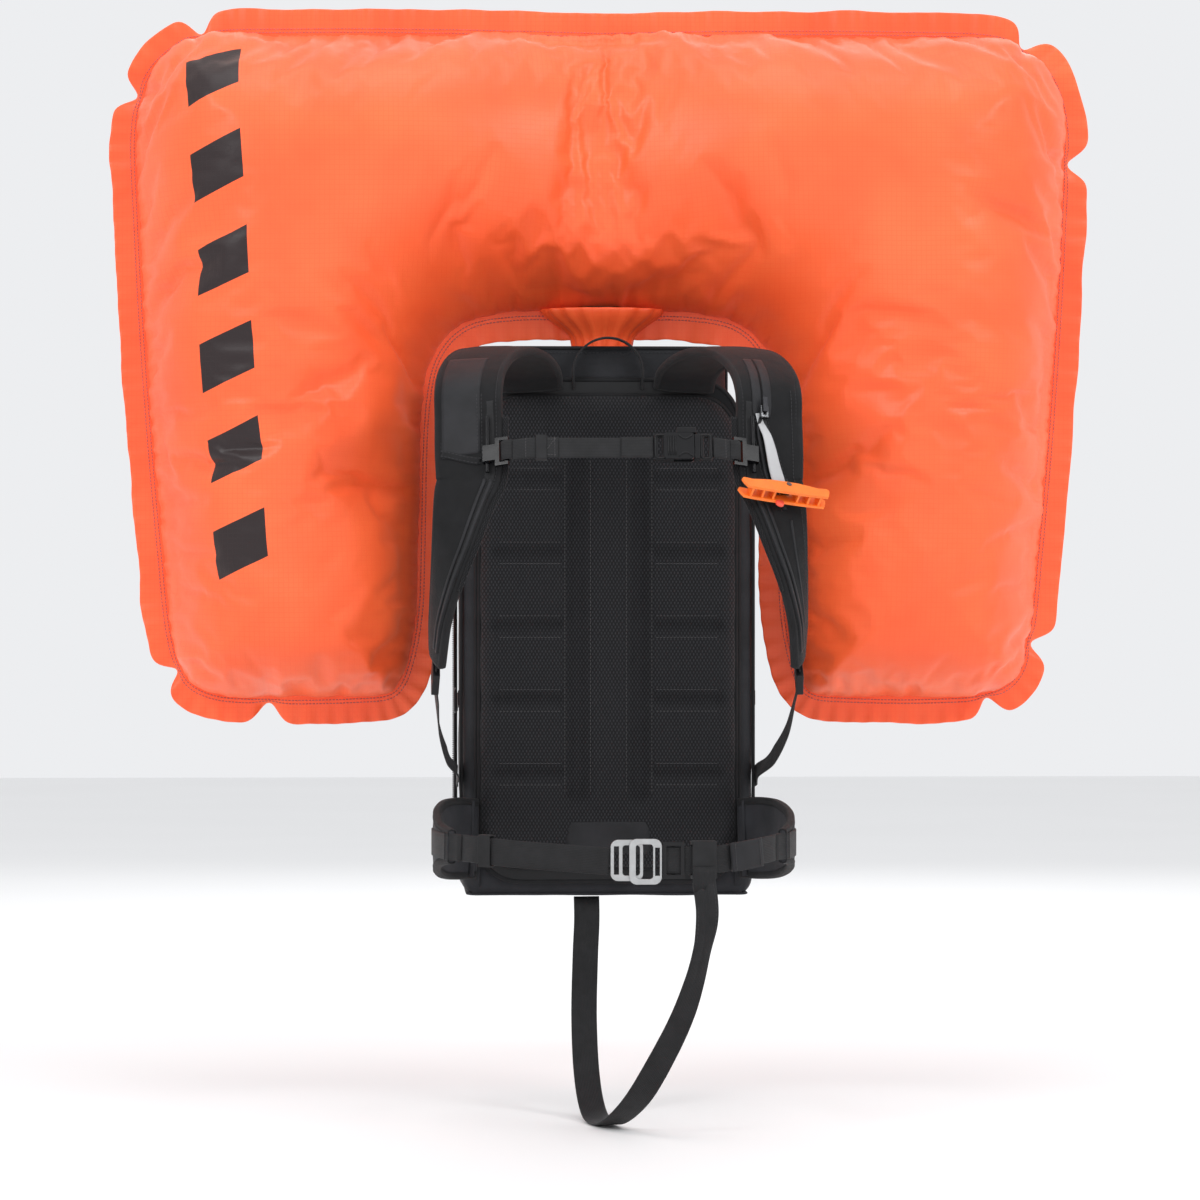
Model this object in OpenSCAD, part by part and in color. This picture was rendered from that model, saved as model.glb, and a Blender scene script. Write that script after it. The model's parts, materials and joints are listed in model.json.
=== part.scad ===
// Avalanche airbag backpack in its worn shape, with the airbag inflated.
// Millimetres. +X is the wearer's left, -Y is the way the wearer faces, +Z is up.
// The origin is the centre of the back pad's face that lies on the wearer's back.

/* [Pack] */
// Half width of the main compartment
pack_half_w = 145; // [142:1:148]
// Depth of the pack, from the wearer's back to the rear flap
pack_depth = 204; // [195:1:215]
// Height of the bottom of the pack
pack_bottom = -290; // [-300:1:-285]
// Height of the shelf under the airbag compartment
shelf_z = 160; // [150:1:168]
// Height of the top of the airbag compartment
pack_top = 248; // [240:1:250]

/* [Airbag] */
// Half width of the airbag near its top
bag_half_w = 492; // [470:1:510]
// Height of the airbag's top edge
bag_top = 590; // [560:1:610]
// Half thickness of the inflated airbag
bag_half_t = 165; // [120:1:170]
// Width of the flat sewn edge outside the seam
bag_flange = 25; // [15:1:30]
// Wall thickness of the coated fabric with its seams
bag_wall = 1.2; // [1:0.1:2]

/* [Straps] */
// Thickness of the padded shoulder straps
strap_t = 12; // [8:1:14]
// Width of the hip belt webbing
belt_w = 25; // [20:1:30]
// Width of the chest strap webbing
chest_w = 20; // [16:1:22]
// Thickness of all webbing
web_t = 1.6; // [1.2:0.1:2]
// Thickness of the padded hip fins
fin_t = 9; // [6:1:12]

/* [Trigger] */
// Length of the trigger handle
handle_len = 88; // [70:1:92]
// Height of the trigger handle's plates
handle_h = 17; // [15:1:19]
// Tilt of the handle, its open side towards the front
handle_tilt = 32; // [20:1:36]

/* [Hidden] */
$fn = 48;

FABRIC = "#1d1d20";
WEBBING = "#101012";
PLASTIC = "#18181a";
ORANGE = "#ff6a3c";
METAL = "#c9cccf";

// Panels
sheet_front = 16.2;            // the frame sheet's face towards the wearer
sheet_t = 2;
wall_front = 18.6;             // everything behind the frame sheet starts here
panel_t = 3;
flap_t = 4;
top_half_w = 118;              // half width of the airbag compartment
top_depth = 203;
top_wall = 2.5;

// Airbag
bag_y = 150;                   // plane of the airbag's seam
port_r = 27;
port_z = 236;

// Chest strap and right shoulder strap frames
chest_pos = [0, -234.8, 127.9];
strap_x = 140;
strap_tilt = atan(0.4);        // lean of the straps over the chest
strap_turn = 20;               // turn of the straps round the chest
rail_x = -21;
rail_y = -8.8;
rail_r = 2;
chest_y = -34;                 // depth of the chest strap in front of the strap frame

// Trigger
trigger_lean = 13;
handle_t = 14;                 // depth of the handle over both plates
handle_drop = -38;             // handle's centre below the trigger frame
handle_turn = 13;
handle_out = -9.6;

// Hip belt
belt_y = -264;
belt_z = -240;
buckle_x = 33;                 // axis of the hook's swing

// Inflator
inflator_pos = [0, 112, 186];
cartridge_pos = [-66, 78];
cartridge_r = 30;
gauge_x = 44;

// ---------- shared shapes ----------

module rounded(w, h, r) {
    square([w - 2 * r, h], center = true);
    square([w, h - 2 * r], center = true);
    for (sx = [-1, 1], sy = [-1, 1])
        translate([sx * (w / 2 - r), sy * (h / 2 - r)]) circle(r);
}

// A rounded plate standing upright, its thickness from y0 to y0 + t
module upright(w, h, r, y0, t) {
    translate([0, y0 + t, 0]) rotate([90, 0, 0]) linear_extrude(t) rounded(w, h, r);
}

function unit(v) = v / norm(v);

function spline(a, b, c, d, t) =
    0.5 * (2 * b + (c - a) * t + (2 * a - 5 * b + 4 * c - d) * t * t + (3 * b - a - 3 * c + d) * t * t * t);

// A smooth row of points through the given ones, n steps between two of them
function smooth(p, n) = let (last = len(p) - 1) [
    for (i = [0 : last - 1], k = [0 : n - 1])
        spline(p[max(i - 1, 0)], p[i], p[i + 1], p[min(i + 2, last)], k / n),
    p[last]];

function place(row) = [row[0], row[1], row[2]];
function across(row) = [row[4], row[5], row[6]];
function flow(rows, i) = unit(place(rows[min(i + 1, len(rows) - 1)]) - place(rows[max(i - 1, 0)]));
function width_dir(rows, i) = let (f = flow(rows, i), a = across(rows[i])) unit(a - (a * f) * f);

// Closed tube of rings: rings[i] is a list of points, counted the same way round
module skin(rings) {
    n = len(rings[0]);
    m = len(rings);
    polyhedron(
        points = [for (r = rings) each r],
        faces = concat(
            [for (i = [0 : m - 2], j = [0 : n - 1], h = [0, 1])
                let (a = i * n + j, b = i * n + (j + 1) % n)
                h == 0 ? [a, b, b + n] : [a, b + n, a + n]],
            [[for (j = [n - 1 : -1 : 0]) j]],
            [[for (j = [0 : n - 1]) (m - 1) * n + j]]),
        convexity = 6);
}

// A strap through rows of [x, y, z, width, across x, across y, across z]
module strap(rows, t, n, bevel = 0) {
    r = smooth(rows, n);
    skin([for (i = [0 : len(r) - 1])
        let (c = place(r[i]), w = width_dir(r, i), u = cross(w, flow(r, i)),
            h = r[i][3] / 2, k = t / 2)
        bevel == 0
            ? [c - h * w - k * u, c + h * w - k * u, c + h * w + k * u, c - h * w + k * u]
            : [c - (h - bevel) * w - k * u, c + (h - bevel) * w - k * u,
               c + h * w - (k - bevel / 2) * u, c + h * w + (k - bevel / 2) * u,
               c + (h - bevel) * w + k * u, c - (h - bevel) * w + k * u,
               c - h * w + (k - bevel / 2) * u, c - h * w - (k - bevel / 2) * u]]);
}

// A round cord of radius r along points p
module cord(p, r, n, sides = 8) {
    q = smooth([for (a = p) [a[0], a[1], a[2], 1, 0.9, 0.1, 0.2]], n);
    skin([for (i = [0 : len(q) - 1])
        let (w = width_dir(q, i), u = cross(w, flow(q, i)))
        [for (s = [0 : sides - 1]) place(q[i]) + r * (cos(s * 360 / sides) * w + sin(s * 360 / sides) * u)]]);
}

module mirrored(side) {
    mirror([side < 0 ? 1 : 0, 0, 0]) children();
}

// ---------- pack body ----------

pad_top = 200;
pad_bottom = -262;
pad_half_w = 125;
channel_x = 30;
groove_count = 5;

module back_pad() color("#232327") {
    difference() {
        translate([0, 0, (pad_top + pad_bottom) / 2]) upright(2 * pad_half_w, pad_top - pad_bottom, 40, 0, 16);
        for (s = [-1, 1]) {
            translate([s * channel_x, 0, -25]) upright(20, 350, 9.9, -1, 10);
            for (k = [0 : groove_count - 1])
                translate([s * 77, 0, -170 + 72 * k]) upright(68, 12, 5.9, -1, 7);
        }
    }
}

module frame_sheet() color("#3a3d42")
    translate([0, 0, -30]) upright(256, 490, 42, sheet_front, sheet_t);

stay_x = 55;
module back_stays() color(METAL)
    for (s = [-1, 1]) translate([s * stay_x, 0, -20]) upright(12, 330, 5.9, wall_front, 3);

module side_panel(side) color(FABRIC) mirrored(side)
    translate([pack_half_w - panel_t, 16, pack_bottom])
        cube([panel_t, pack_depth - 16, shelf_z - pack_bottom]);

module bottom_panel() color(FABRIC)
    translate([-pack_half_w + panel_t + 0.1, wall_front, pack_bottom])
        cube([2 * (pack_half_w - panel_t - 0.1), pack_depth - wall_front, 4]);

module shelf_panel() color(FABRIC)
    difference() {
        translate([-pack_half_w + panel_t + 0.1, wall_front, shelf_z - 3])
            cube([2 * (pack_half_w - panel_t - 0.1), pack_depth - wall_front, 3]);
        translate([cartridge_pos[0], cartridge_pos[1], shelf_z - 4]) cylinder(r = cartridge_r + 4, h = 6);
    }

top_mid = (wall_front + top_depth) / 2;
module airbag_compartment() color(FABRIC)
    difference() {
        translate([0, top_mid, shelf_z + 0.1]) linear_extrude(pack_top - shelf_z - 0.1)
            rounded(2 * top_half_w, top_depth - wall_front, 32);
        translate([0, top_mid, shelf_z - 1]) linear_extrude(pack_top - shelf_z + 2)
            rounded(2 * (top_half_w - top_wall), top_depth - wall_front - 2 * top_wall, 32 - top_wall);
        translate([cable_hole[0], wall_front - 1, cable_hole[1]]) rotate([-90, 0, 0])
            cylinder(r = 4, h = top_wall + 2);
    }

module burst_flap(side) color(FABRIC) mirrored(side)
    translate([top_half_w + 0.3, 58, 198]) cube([2.5, 105, 48]);

haul_r = 32;
module haul_loop() color(WEBBING)
    translate([0, 0, 222]) {
        rotate([90, 0, 0]) translate([0, 0, -15.5]) linear_extrude(14.5) intersection() {
            difference() { circle(haul_r + 2.5); circle(haul_r); }
            translate([-50, 0]) square([100, 50]);
        }
        for (s = [-1, 1]) translate([s * (haul_r + 1.25) - 1.25, 1, -16.5]) cube([2.5, 14.5, 16.5]);
    }

// ---------- airbag ----------

// Pairs of points, one on the airbag's outer edge and one on the edge of its
// neck notch, from the middle of the top to the foot of one side lobe
bag_pairs = [
    [0, bag_top, 0, 262], [150, bag_top + 3, 45, 262], [300, bag_top + 3, 88, 261],
    [420, bag_top - 2, 125, 254], [478, bag_top - 44, 145, 232],
    [bag_half_w, 470, 153, 195], [bag_half_w - 3, 370, 156, 145], [bag_half_w - 9, 260, 157, 97],
    [bag_half_w - 17, 150, 158, 50], [bag_half_w - 26, 50, 159, 5], [bag_half_w - 36, -40, 162, -45],
    [bag_half_w - 52, -90, 168, -85], [bag_half_w - 92, -120, 182, -114]];
bag_steps = 2;
bag_rows = 12;                 // facets across the airbag between its seams
bag_half = smooth(bag_pairs, bag_steps);
bag_last = len(bag_half) - 1;

// Lens profile over the width and the closing of the lobe's foot
function lens(v) = pow(max(0, 1 - pow(abs(2 * v - 1), 2.3)), 0.62);
function foot(k) = let (e = min(1, max(0, (1 - k / bag_last - 0.035) / 0.27))) sqrt(1 - pow(1 - e, 2));
function valley(x) = 1 - 0.28 * exp(-pow(x / 150, 2));

// One ring across the bag at step k of one half; shrink is the wall thickness
function bag_ring(k, side, shrink) =
    let (p = bag_half[k], o = [p[0], p[1]], i = [p[2], p[3]], w = norm(i - o), d = (i - o) / w,
        edge = bag_flange + shrink)
    [for (j = [0 : bag_rows])
        let (s = edge + (w - 2 * edge) * j / bag_rows, q = o + d * s,
            t = bag_half_t * lens(j / bag_rows) * foot(min(k + 0.1 * shrink, bag_last)) * valley(q[0]))
        [side * q[0], q[1], max(1.2 - shrink, t - shrink)]];

// Front row then back row of a ring, closed round
function bag_loop(k, side, shrink) =
    let (r = bag_ring(k, side, shrink), p = bag_half[k],
        rim = shrink == 0)
    concat(
        rim ? [[side * p[0], bag_y, p[1]]] : [],
        [for (a = r) [a[0], bag_y - max(a[2], 0.3), a[1]]],
        rim ? [[side * p[2], bag_y, p[3]]] : [],
        [for (j = [bag_rows : -1 : 0]) [r[j][0], bag_y + max(r[j][2], 0.3), r[j][1]]]);

function bag_loops(shrink, cut) = concat(
    [for (k = [bag_last - cut : -1 : 1]) bag_loop(k, 1, shrink)],
    [for (k = [0 : bag_last - cut]) bag_loop(k, -1, shrink)]);

module airbag() color(ORANGE)
    difference() {
        skin(bag_loops(0, 0));
        skin(bag_loops(bag_wall, 1));
        translate([0, bag_y, port_z - 5]) cylinder(r = port_r + 0.4, h = 70);
    }

module port_collar() color(PLASTIC)
    translate([0, bag_y, port_z]) difference() {
        union() {
            cylinder(r = port_r, h = 58);
            cylinder(r = port_r + 9, h = 3);
        }
        translate([0, 0, -1]) cylinder(r = port_r - 4, h = 60);
    }

// ---------- inflator ----------

cable_hole = [72, 232];
body_w = 112;
body_d = 70;
body_h = 44;
lever_pos = [30, 0];

module inflator_body() color(PLASTIC)
    difference() {
        union() {
            translate([inflator_pos[0], inflator_pos[1], inflator_pos[2] - body_h / 2])
                linear_extrude(body_h) rounded(body_w, body_d, 16);
            translate([0, bag_y, inflator_pos[2] - body_h / 2]) cylinder(r = 30, h = body_h);
            translate([0, bag_y, inflator_pos[2]]) cylinder(r = port_r - 4.4, h = 64);
            translate([cartridge_pos[0], cartridge_pos[1], 176]) cylinder(r = 19, h = 28);
        }
        translate([0, bag_y, inflator_pos[2] - 10]) cylinder(r = port_r - 8, h = 80);
        translate([cartridge_pos[0], cartridge_pos[1], 175]) cylinder(r = 9.05, h = 16);
        translate([cartridge_pos[0], cartridge_pos[1], 190]) cylinder(r = 2.05, h = 20);
        translate([deflate_x, inflator_pos[1] - body_d / 2 - 1, inflator_pos[2]]) rotate([-90, 0, 0])
            cylinder(r = 8.05, h = 9);
        translate([lever_pos[0], inflator_pos[1], inflator_pos[2] + body_h / 2 - 8]) cylinder(r = 3.05, h = 20);
    }

module intake_grille() color("#2b2d31")
    translate([0, bag_y + 30.3, inflator_pos[2]]) difference() {
        upright(48, 34, 6, 0, 3);
        for (k = [-3 : 3]) translate([0, 0, k * 4.2]) upright(38, 2, 0.9, -1, 5);
    }

deflate_x = -12;
module deflate_button() color("#b3252b")
    translate([deflate_x, inflator_pos[1] - body_d / 2 - 5, inflator_pos[2]]) rotate([-90, 0, 0])
        cylinder(r = 8, h = 8);

gauge_y = inflator_pos[1] - body_d / 2 - 8;
module gauge_case() color(METAL)
    translate([gauge_x - 14, gauge_y, inflator_pos[2]]) rotate([-90, 0, 0]) difference() {
        cylinder(r = 12, h = 7.9);
        translate([0, 0, -1]) cylinder(r = 10.5, h = 4);
        translate([0, 0, 1]) cylinder(r = 1.05, h = 5);
    }

module gauge_needle() color("#d8322a")
    translate([gauge_x - 14, gauge_y, inflator_pos[2]]) rotate([-90, 0, 0]) {
        translate([0, 0, 1.2]) cylinder(r = 1, h = 4);
        translate([-0.5, -8.5, 1.2]) cube([1, 9, 0.8]);
    }

module release_lever() color("#b3252b")
    translate([lever_pos[0], inflator_pos[1], inflator_pos[2] + body_h / 2]) {
        translate([0, 0, -7.5]) cylinder(r = 3, h = 12);
        difference() {
            translate([-7, -30, 0.4]) linear_extrude(4) translate([7, 18]) rounded(14, 38, 6.9);
            translate([0, -25, -1]) cylinder(r = 2, h = 8);
        }
    }

module piercing_pin() color(METAL)
    translate([cartridge_pos[0], cartridge_pos[1], 195.5]) {
        cylinder(r = 2, h = 16);
        translate([0, 0, 12.5]) cylinder(r = 5, h = 3.5);
    }

module cartridge() color("#c8b04a")
    translate([cartridge_pos[0], cartridge_pos[1], 0]) rotate_extrude($fn = 64)
        polygon([[0, -62], [22, -62], [27, -58], [cartridge_r, -50], [cartridge_r, 128], [28, 138],
            [22, 147], [14, 153], [14, 174.5], [9, 174.5], [9, 186], [0, 186]]);

module cartridge_strap() color(WEBBING)
    translate([cartridge_pos[0], cartridge_pos[1], 20]) difference() {
        union() {
            cylinder(r = cartridge_r + 2.5, h = 25);
            translate([-14, -(cartridge_pos[1] - wall_front - 3.2), 0]) cube([28, 40, 25]);
        }
        translate([0, 0, -1]) cylinder(r = cartridge_r + 0.3, h = 27);
    }

// ---------- shoulder straps ----------

function turned(x, y, z, w, a) = [x, y, z, w, cos(a), sin(a), 0];
function on_chest(s, w, a) =
    turned(strap_x, chest_pos[1] + s * sin(strap_tilt), chest_pos[2] + s * cos(strap_tilt), w, a);

strap_rows = [
    turned(74, 9, 206, 60, 0), turned(77, -8, 221, 62, 8), turned(90, -48, 233, 66, 16),
    turned(108, -97, 237, 68, strap_turn), turned(125, -145, 230, 67, strap_turn),
    turned(136, -183, 214, 66, strap_turn), on_chest(71, 66, strap_turn), on_chest(43, 66, strap_turn),
    on_chest(13, 66, strap_turn), on_chest(-17, 64, strap_turn), turned(145, -246, 96, 60, 25),
    turned(153, -250, 60, 52, 38), turned(161, -242, 20, 44, 54), turned(167, -224, -20, 38, 68),
    turned(169, -200, -55, 34, 76)];

module shoulder_strap(side) color(FABRIC) mirrored(side) strap(strap_rows, strap_t, 3, 3);

module lower_webbing(side) color(WEBBING) mirrored(side)
    strap([turned(170, -177, -80.4, 20, 84), turned(169.5, -166, -91, 20, 86), turned(166, -110, -124, 20, 92),
        turned(158, -50, -150, 20, 96), turned(148.5, 8, -166, 20, 92), turned(147.2, 46, -174, 20, 90)],
        web_t, 4);

module strap_adjusters() color(PLASTIC)
    for (side = [-1, 1]) mirrored(side)
        translate([170.5, -187.5, -69.5]) rotate([45, 0, 0]) rotate([0, -3, 0]) difference() {
            translate([-3.5, -15, -13]) cube([7, 30, 26]);
            for (z = [-9.5, -1, 6]) translate([-1.5, -11, z]) cube([3.4, 22, 3.5]);
            for (z = [-9.5, 6]) translate([-4, -11, z]) cube([8, 22, 3.5]);
        }

module chest_frame() translate(chest_pos) rotate([-strap_tilt, 0, 0]) children();

module strap_frame(side) mirrored(side)
    translate([strap_x, chest_pos[1], chest_pos[2]]) rotate([-strap_tilt, 0, 0]) rotate([0, 0, strap_turn])
        children();

rail_low = -17;
rail_high = 40;
module chest_rails() color("#2a2a2e")
    for (side = [-1, 1]) chest_frame() mirrored(side) translate([strap_x, 0, 0]) rotate([0, 0, strap_turn]) {
        translate([rail_x, rail_y, rail_low]) cylinder(r = rail_r, h = rail_high - rail_low);
        translate([rail_x - 0.6, rail_y, rail_low]) cube([1.2, -rail_y - strap_t / 2 - 0.5, rail_high - rail_low]);
    }

clip_h = 16;
module rail_clip(side) color(PLASTIC)
    chest_frame() mirrored(side) translate([strap_x, 0, 0]) rotate([0, 0, strap_turn])
        difference() {
            union() {
                translate([rail_x, rail_y, -clip_h / 2]) cylinder(r = 4.4, h = clip_h);
                translate([rail_x - 12, rail_y - 5.5, -clip_h / 2]) cube([15, 5.5, clip_h]);
                translate([rail_x - 22, rail_y - 5.5, -14]) cube([13, 3.5, 28]);
            }
            translate([rail_x, rail_y, -clip_h]) cylinder(r = rail_r + 0.25, h = 2 * clip_h);
            translate([rail_x - 1.1, rail_y, -clip_h]) cube([2.2, 10, 2 * clip_h]);
            translate([rail_x - 10, rail_y + 2.3, -clip_h]) cube([20, 10, 2 * clip_h]);
            translate([rail_x - 18.5, rail_y - 8, -10.8]) cube([5, 10, 21.6]);
        }

// ---------- chest strap, in the chest frame ----------

function chest_row(x, y) = [x, y, 0, chest_w, 0, 0, 1];
clip_web_x = 103.6;
clip_web_y = -26.5;
body_x = 39;                   // left end of the buckle's body
body_len = 28;

module chest_webbing_left() color(WEBBING) chest_frame()
    strap([chest_row(-clip_web_x, clip_web_y), chest_row(-84, -32.3), chest_row(-60, -33.6), chest_row(-30, chest_y),
        chest_row(-4, chest_y), chest_row(body_x - 9.2, chest_y)], 2 * web_t, 3);

module chest_webbing_right() color(WEBBING) chest_frame()
    strap([chest_row(body_x + body_len + 17.5, chest_y), chest_row(94, -31), chest_row(clip_web_x, clip_web_y)],
        2 * web_t, 4);

module frame_block(x, y, w, d, h, hole_d, hole_h) {
    translate([x, y, 0]) difference() {
        cube([w, d, h], center = true);
        cube([w + 2, hole_d, hole_h], center = true);
    }
}

module chest_keeper() color(WEBBING) chest_frame()
    frame_block(-74, -33, 10, 6.4, chest_w + 4, 4.8, chest_w + 0.6);

body_hh = 13;
module chest_buckle_body() color(PLASTIC) chest_frame()
    translate([body_x, chest_y, 0]) difference() {
        union() {
            translate([body_len / 2, 5, 0]) rotate([90, 0, 0]) linear_extrude(10) rounded(body_len, 2 * body_hh, 3);
            translate([-9, -2.5, -body_hh]) cube([12, 5, 2 * body_hh]);
        }
        translate([4, -3, -9.4]) cube([body_len, 6, 18.8]);
        translate([9, -2.6, -body_hh - 1]) cube([body_len, 5.2, 2 * body_hh + 2]);
        translate([-5.6, -4, -10.4]) cube([4.4, 8, 20.8]);
    }

module whistle() color(PLASTIC) chest_frame()
    translate([body_x + 22, chest_y - 1.6, body_hh + 0.2]) difference() {
        translate([-10, -3, 0]) cube([18, 6, 5.5]);
        translate([-9, -2, 1.4]) cube([18.5, 4, 2.8]);
    }

tongue_x = body_x + body_len + 0.4;
module chest_buckle_tongue() color(PLASTIC) chest_frame()
    translate([tongue_x, chest_y, 0]) difference() {
        union() {
            translate([0, -4.5, -12]) cube([5, 9, 24]);
            translate([5, -2.5, -body_hh]) cube([11, 5, 2 * body_hh]);
            translate([-20, -1.5, -1.8]) cube([21, 3, 3.6]);
        }
        translate([8.4, -4, -10.4]) cube([4.4, 8, 20.8]);
    }

module prong(side) color(PLASTIC) chest_frame()
    translate([tongue_x, chest_y, 0]) rotate([side < 0 ? 180 : 0, 0, 0]) {
        translate([-18, -2.2, 5.4]) cube([17.7, 4.4, 3]);
        translate([-19, -2.2, 5.4]) cube([7, 4.4, 6.4]);
    }

// ---------- trigger, in the trigger frame ----------

module trigger_frame() strap_frame(1) translate([-3.5, -8, 0]) rotate([0, -trigger_lean, 0]) children();

module trigger_sleeve() color("#e8e6e2") trigger_frame()
    translate([-6.5, -5.5, -26]) cube([13, 2.6, 62]);

module trigger_zip() color("#26262a") strap_frame(1)
    translate([slider_x - 7, -8.2, 34]) cube([14, 1, 28]);

plate_t = 2.5;
pin_z = 4;                     // the cross pin above the handle's centre
pin_r = 1.5;
barrel_r = 4.2;
rib_h = 13;
neck_lean = 14;                // lean of the neck out of the handle's own plane

// Half of a plate's outline, from the top middle round to the bottom middle
plate_side = [[0, 8.5], [14, 8.1], [24, 6.6], [33, 4.9], [38, 5.6], [42, 5.8], [handle_len / 2, 3.6],
    [43, -1], [40.5, -7], [30, -8], [14, -8.4], [0, -8.5]];

module handle_frame() trigger_frame() translate([0, handle_out, handle_drop])
    rotate([0, handle_turn, 0]) rotate([-handle_tilt, 0, 0]) children();

module handle_plate(y)
    translate([0, y + plate_t, 0]) rotate([90, 0, 0]) linear_extrude(plate_t)
        scale([1, handle_h / 17]) polygon(concat(plate_side,
            [for (i = [len(plate_side) - 2 : -1 : 1]) [-plate_side[i][0], plate_side[i][1]]]));

module trigger_handle() color(ORANGE) handle_frame() difference() {
    union() {
        for (y = [-handle_t / 2, handle_t / 2 - plate_t]) handle_plate(y);
        for (x = [-34, -23, -12, 12, 23, 34])
            translate([x - 1, plate_t - handle_t / 2, -7])
                cube([2, handle_t - 2 * plate_t, abs(x) > 30 ? rib_h - 3 : rib_h]);
    }
    translate([-15, 0, pin_z]) rotate([0, 90, 0]) cylinder(r = pin_r + 0.05, h = 30);
}

module handle_pivot() color("#17171a") handle_frame() translate([0, 0, pin_z]) {
    rotate([0, 90, 0]) cylinder(r = pin_r, h = 28, center = true);
    rotate([0, 90, 0]) cylinder(r = barrel_r, h = 11, center = true);
    rotate([neck_lean, 0, 0]) translate([-3, -1, 0]) cube([6, 2, 8.4]);
}

slider_x = -10;
slider_z = 45;                 // place of the slider along the strap
module pocket_slider() color(METAL) strap_frame(1)
    translate([slider_x, -13, slider_z]) difference() {
        translate([-4, 0, -6]) cube([8, 4.4, 12]);
        translate([-1, -0.5, -3]) cube([2, 2.5, 6]);
    }

module pocket_puller() color("#8d9094") strap_frame(1)
    translate([slider_x - 2.5, -15, slider_z - 1]) cube([5, 1.2, 15]);

// ---------- hip belt ----------

function belt_row(x, y, z, w) = [x, y, z, w, 0, 0, 1];
fin_rows = [belt_row(129, 10, -233, 78), belt_row(147, -8, -232, 80), belt_row(161, -45, -231, 76),
    belt_row(168, -95, -230, 62), belt_row(166, -145, -230, 44), belt_row(155, -188, -231, 32)];

module hip_fin(side) color(FABRIC) mirrored(side) strap(fin_rows, fin_t, 3, 2);

left_belt = [belt_row(-152, -195, -231, belt_w), belt_row(-132, -225, -232, belt_w),
    belt_row(-95, -250, -235, belt_w), belt_row(-50, -261, -238, belt_w),
    belt_row(-11, belt_y, belt_z - 1, belt_w)];
module hip_webbing_left() color(WEBBING) strap(left_belt, 2 * web_t, 4);

module hip_webbing_right() color(WEBBING) {
    strap([belt_row(buckle_x + 5, belt_y, belt_z, belt_w), belt_row(52, belt_y, belt_z, belt_w),
        belt_row(68, belt_y, belt_z, belt_w), belt_row(92, -259.5, belt_z + 1, belt_w), belt_row(122, -242, -235, belt_w),
        belt_row(143, -214, -232, belt_w), belt_row(151, -195, -231, belt_w)], 2 * web_t, 4);
    strap([belt_row(102, -260.5, -237.6, belt_w + 2), belt_row(118, -249.4, -235.8, belt_w + 2),
        belt_row(132, -236.5, -233.8, belt_w + 2)], 2 * web_t, 4);
}

module belt_keeper() color(WEBBING) {
    r = smooth(left_belt, 4);
    d = flow(r, 5);
    translate(place(r[5])) rotate([0, 0, atan2(d[1], d[0])])
        frame_block(0, 0, 14, 7.8, belt_w + 5, 5.6, belt_w + 2.2);
}

module hook_plate(w, h, t, bar) {
    rotate([90, 0, 0]) linear_extrude(t, center = true) difference() {
        rounded(w, h, 7);
        translate([bar, 0]) rounded(w - 14, h - 10, 3);
    }
}

module hip_ring() color(METAL) translate([5, belt_y, belt_z]) {
    difference() {
        hook_plate(30, 38, 4, 4);
        translate([-9.6, 0, 0]) cube([4.6, 10, belt_w + 1], center = true);
    }
}

module hip_hook() color(METAL) translate([buckle_x - 11, belt_y - 4.6, belt_z - 1]) {
    difference() {
        hook_plate(30, 42, 4.4, -1);
        translate([11, 0, 0]) cube([4.4, 10, belt_w + 1], center = true);
    }
    translate([-14, 1.8, -6]) cube([4, 6, 12]);
}

module tri_glide() color(PLASTIC) translate([48, belt_y, belt_z]) {
    for (s = [-1, 1]) translate([-10, -3.6, s * 15.2 - 1.8]) cube([20, 7.2, 3.6]);
    for (x = [-10, 6.5]) translate([x, -3.8, -14]) cube([3.5, 1.7, 28]);
    translate([-2, 1.9, -14]) cube([4, 1.7, 28]);
}

// ---------- leg strap ----------

leg_x = 76;
module leg_loop() color(WEBBING)
    translate([leg_x, belt_y + 1, belt_z + 0.5]) rotate([0, 0, 8]) difference() {
        cube([23, 10.4, belt_w + 10], center = true);
        cube([25, 7.2, belt_w + 3], center = true);
    }

function leg_row(x, y, z, w, a) = [x, y, z, w, cos(a), sin(a), 0];
leg_rows = [leg_row(leg_x, -266, -258.8, 22, 0), leg_row(79, -270, -290, 21, 0), leg_row(74, -266, -325, 20, 30),
    leg_row(60, -252, -378, 22, 10), leg_row(38, -232, -428, 24, 0), leg_row(18, -205, -466, 25, 0),
    leg_row(0, -165, -490, 25, 0), leg_row(-12, -120, -497, 25, 0), leg_row(-19, -75, -487, 25, 0),
    leg_row(-23, -35, -455, 25, 0), leg_row(-24, -5, -405, 25, 0), leg_row(-22, 15, -350, 25, 0),
    leg_row(-20, 28, -315, 25, 0), leg_row(-20, 36, -291, 25, 0)];
module leg_strap() color(WEBBING) strap(leg_rows, 2.4, 4);

// ---------- rear flap ----------

flap_half_w = 141;
flap_bottom = pack_bottom + 6;
flap_top = shelf_z - 2;
module main_flap() color(FABRIC)
    translate([0, 0, (flap_bottom + flap_top) / 2])
        upright(2 * flap_half_w, flap_top - flap_bottom, 30, pack_depth + 0.6, flap_t);

pocket_front = pack_depth + 0.6 + flap_t;
pocket_t = 26;
module gear_pocket() color("#222226") difference() {
    translate([0, 0, -90]) upright(228, 320, 34, pocket_front, pocket_t);
    translate([0, 0, -92]) upright(222, 300, 30, pocket_front + 3, pocket_t - 6);
    translate([-95, pocket_front + 3, 30]) cube([190, pocket_t - 6, 60]);
}

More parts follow.
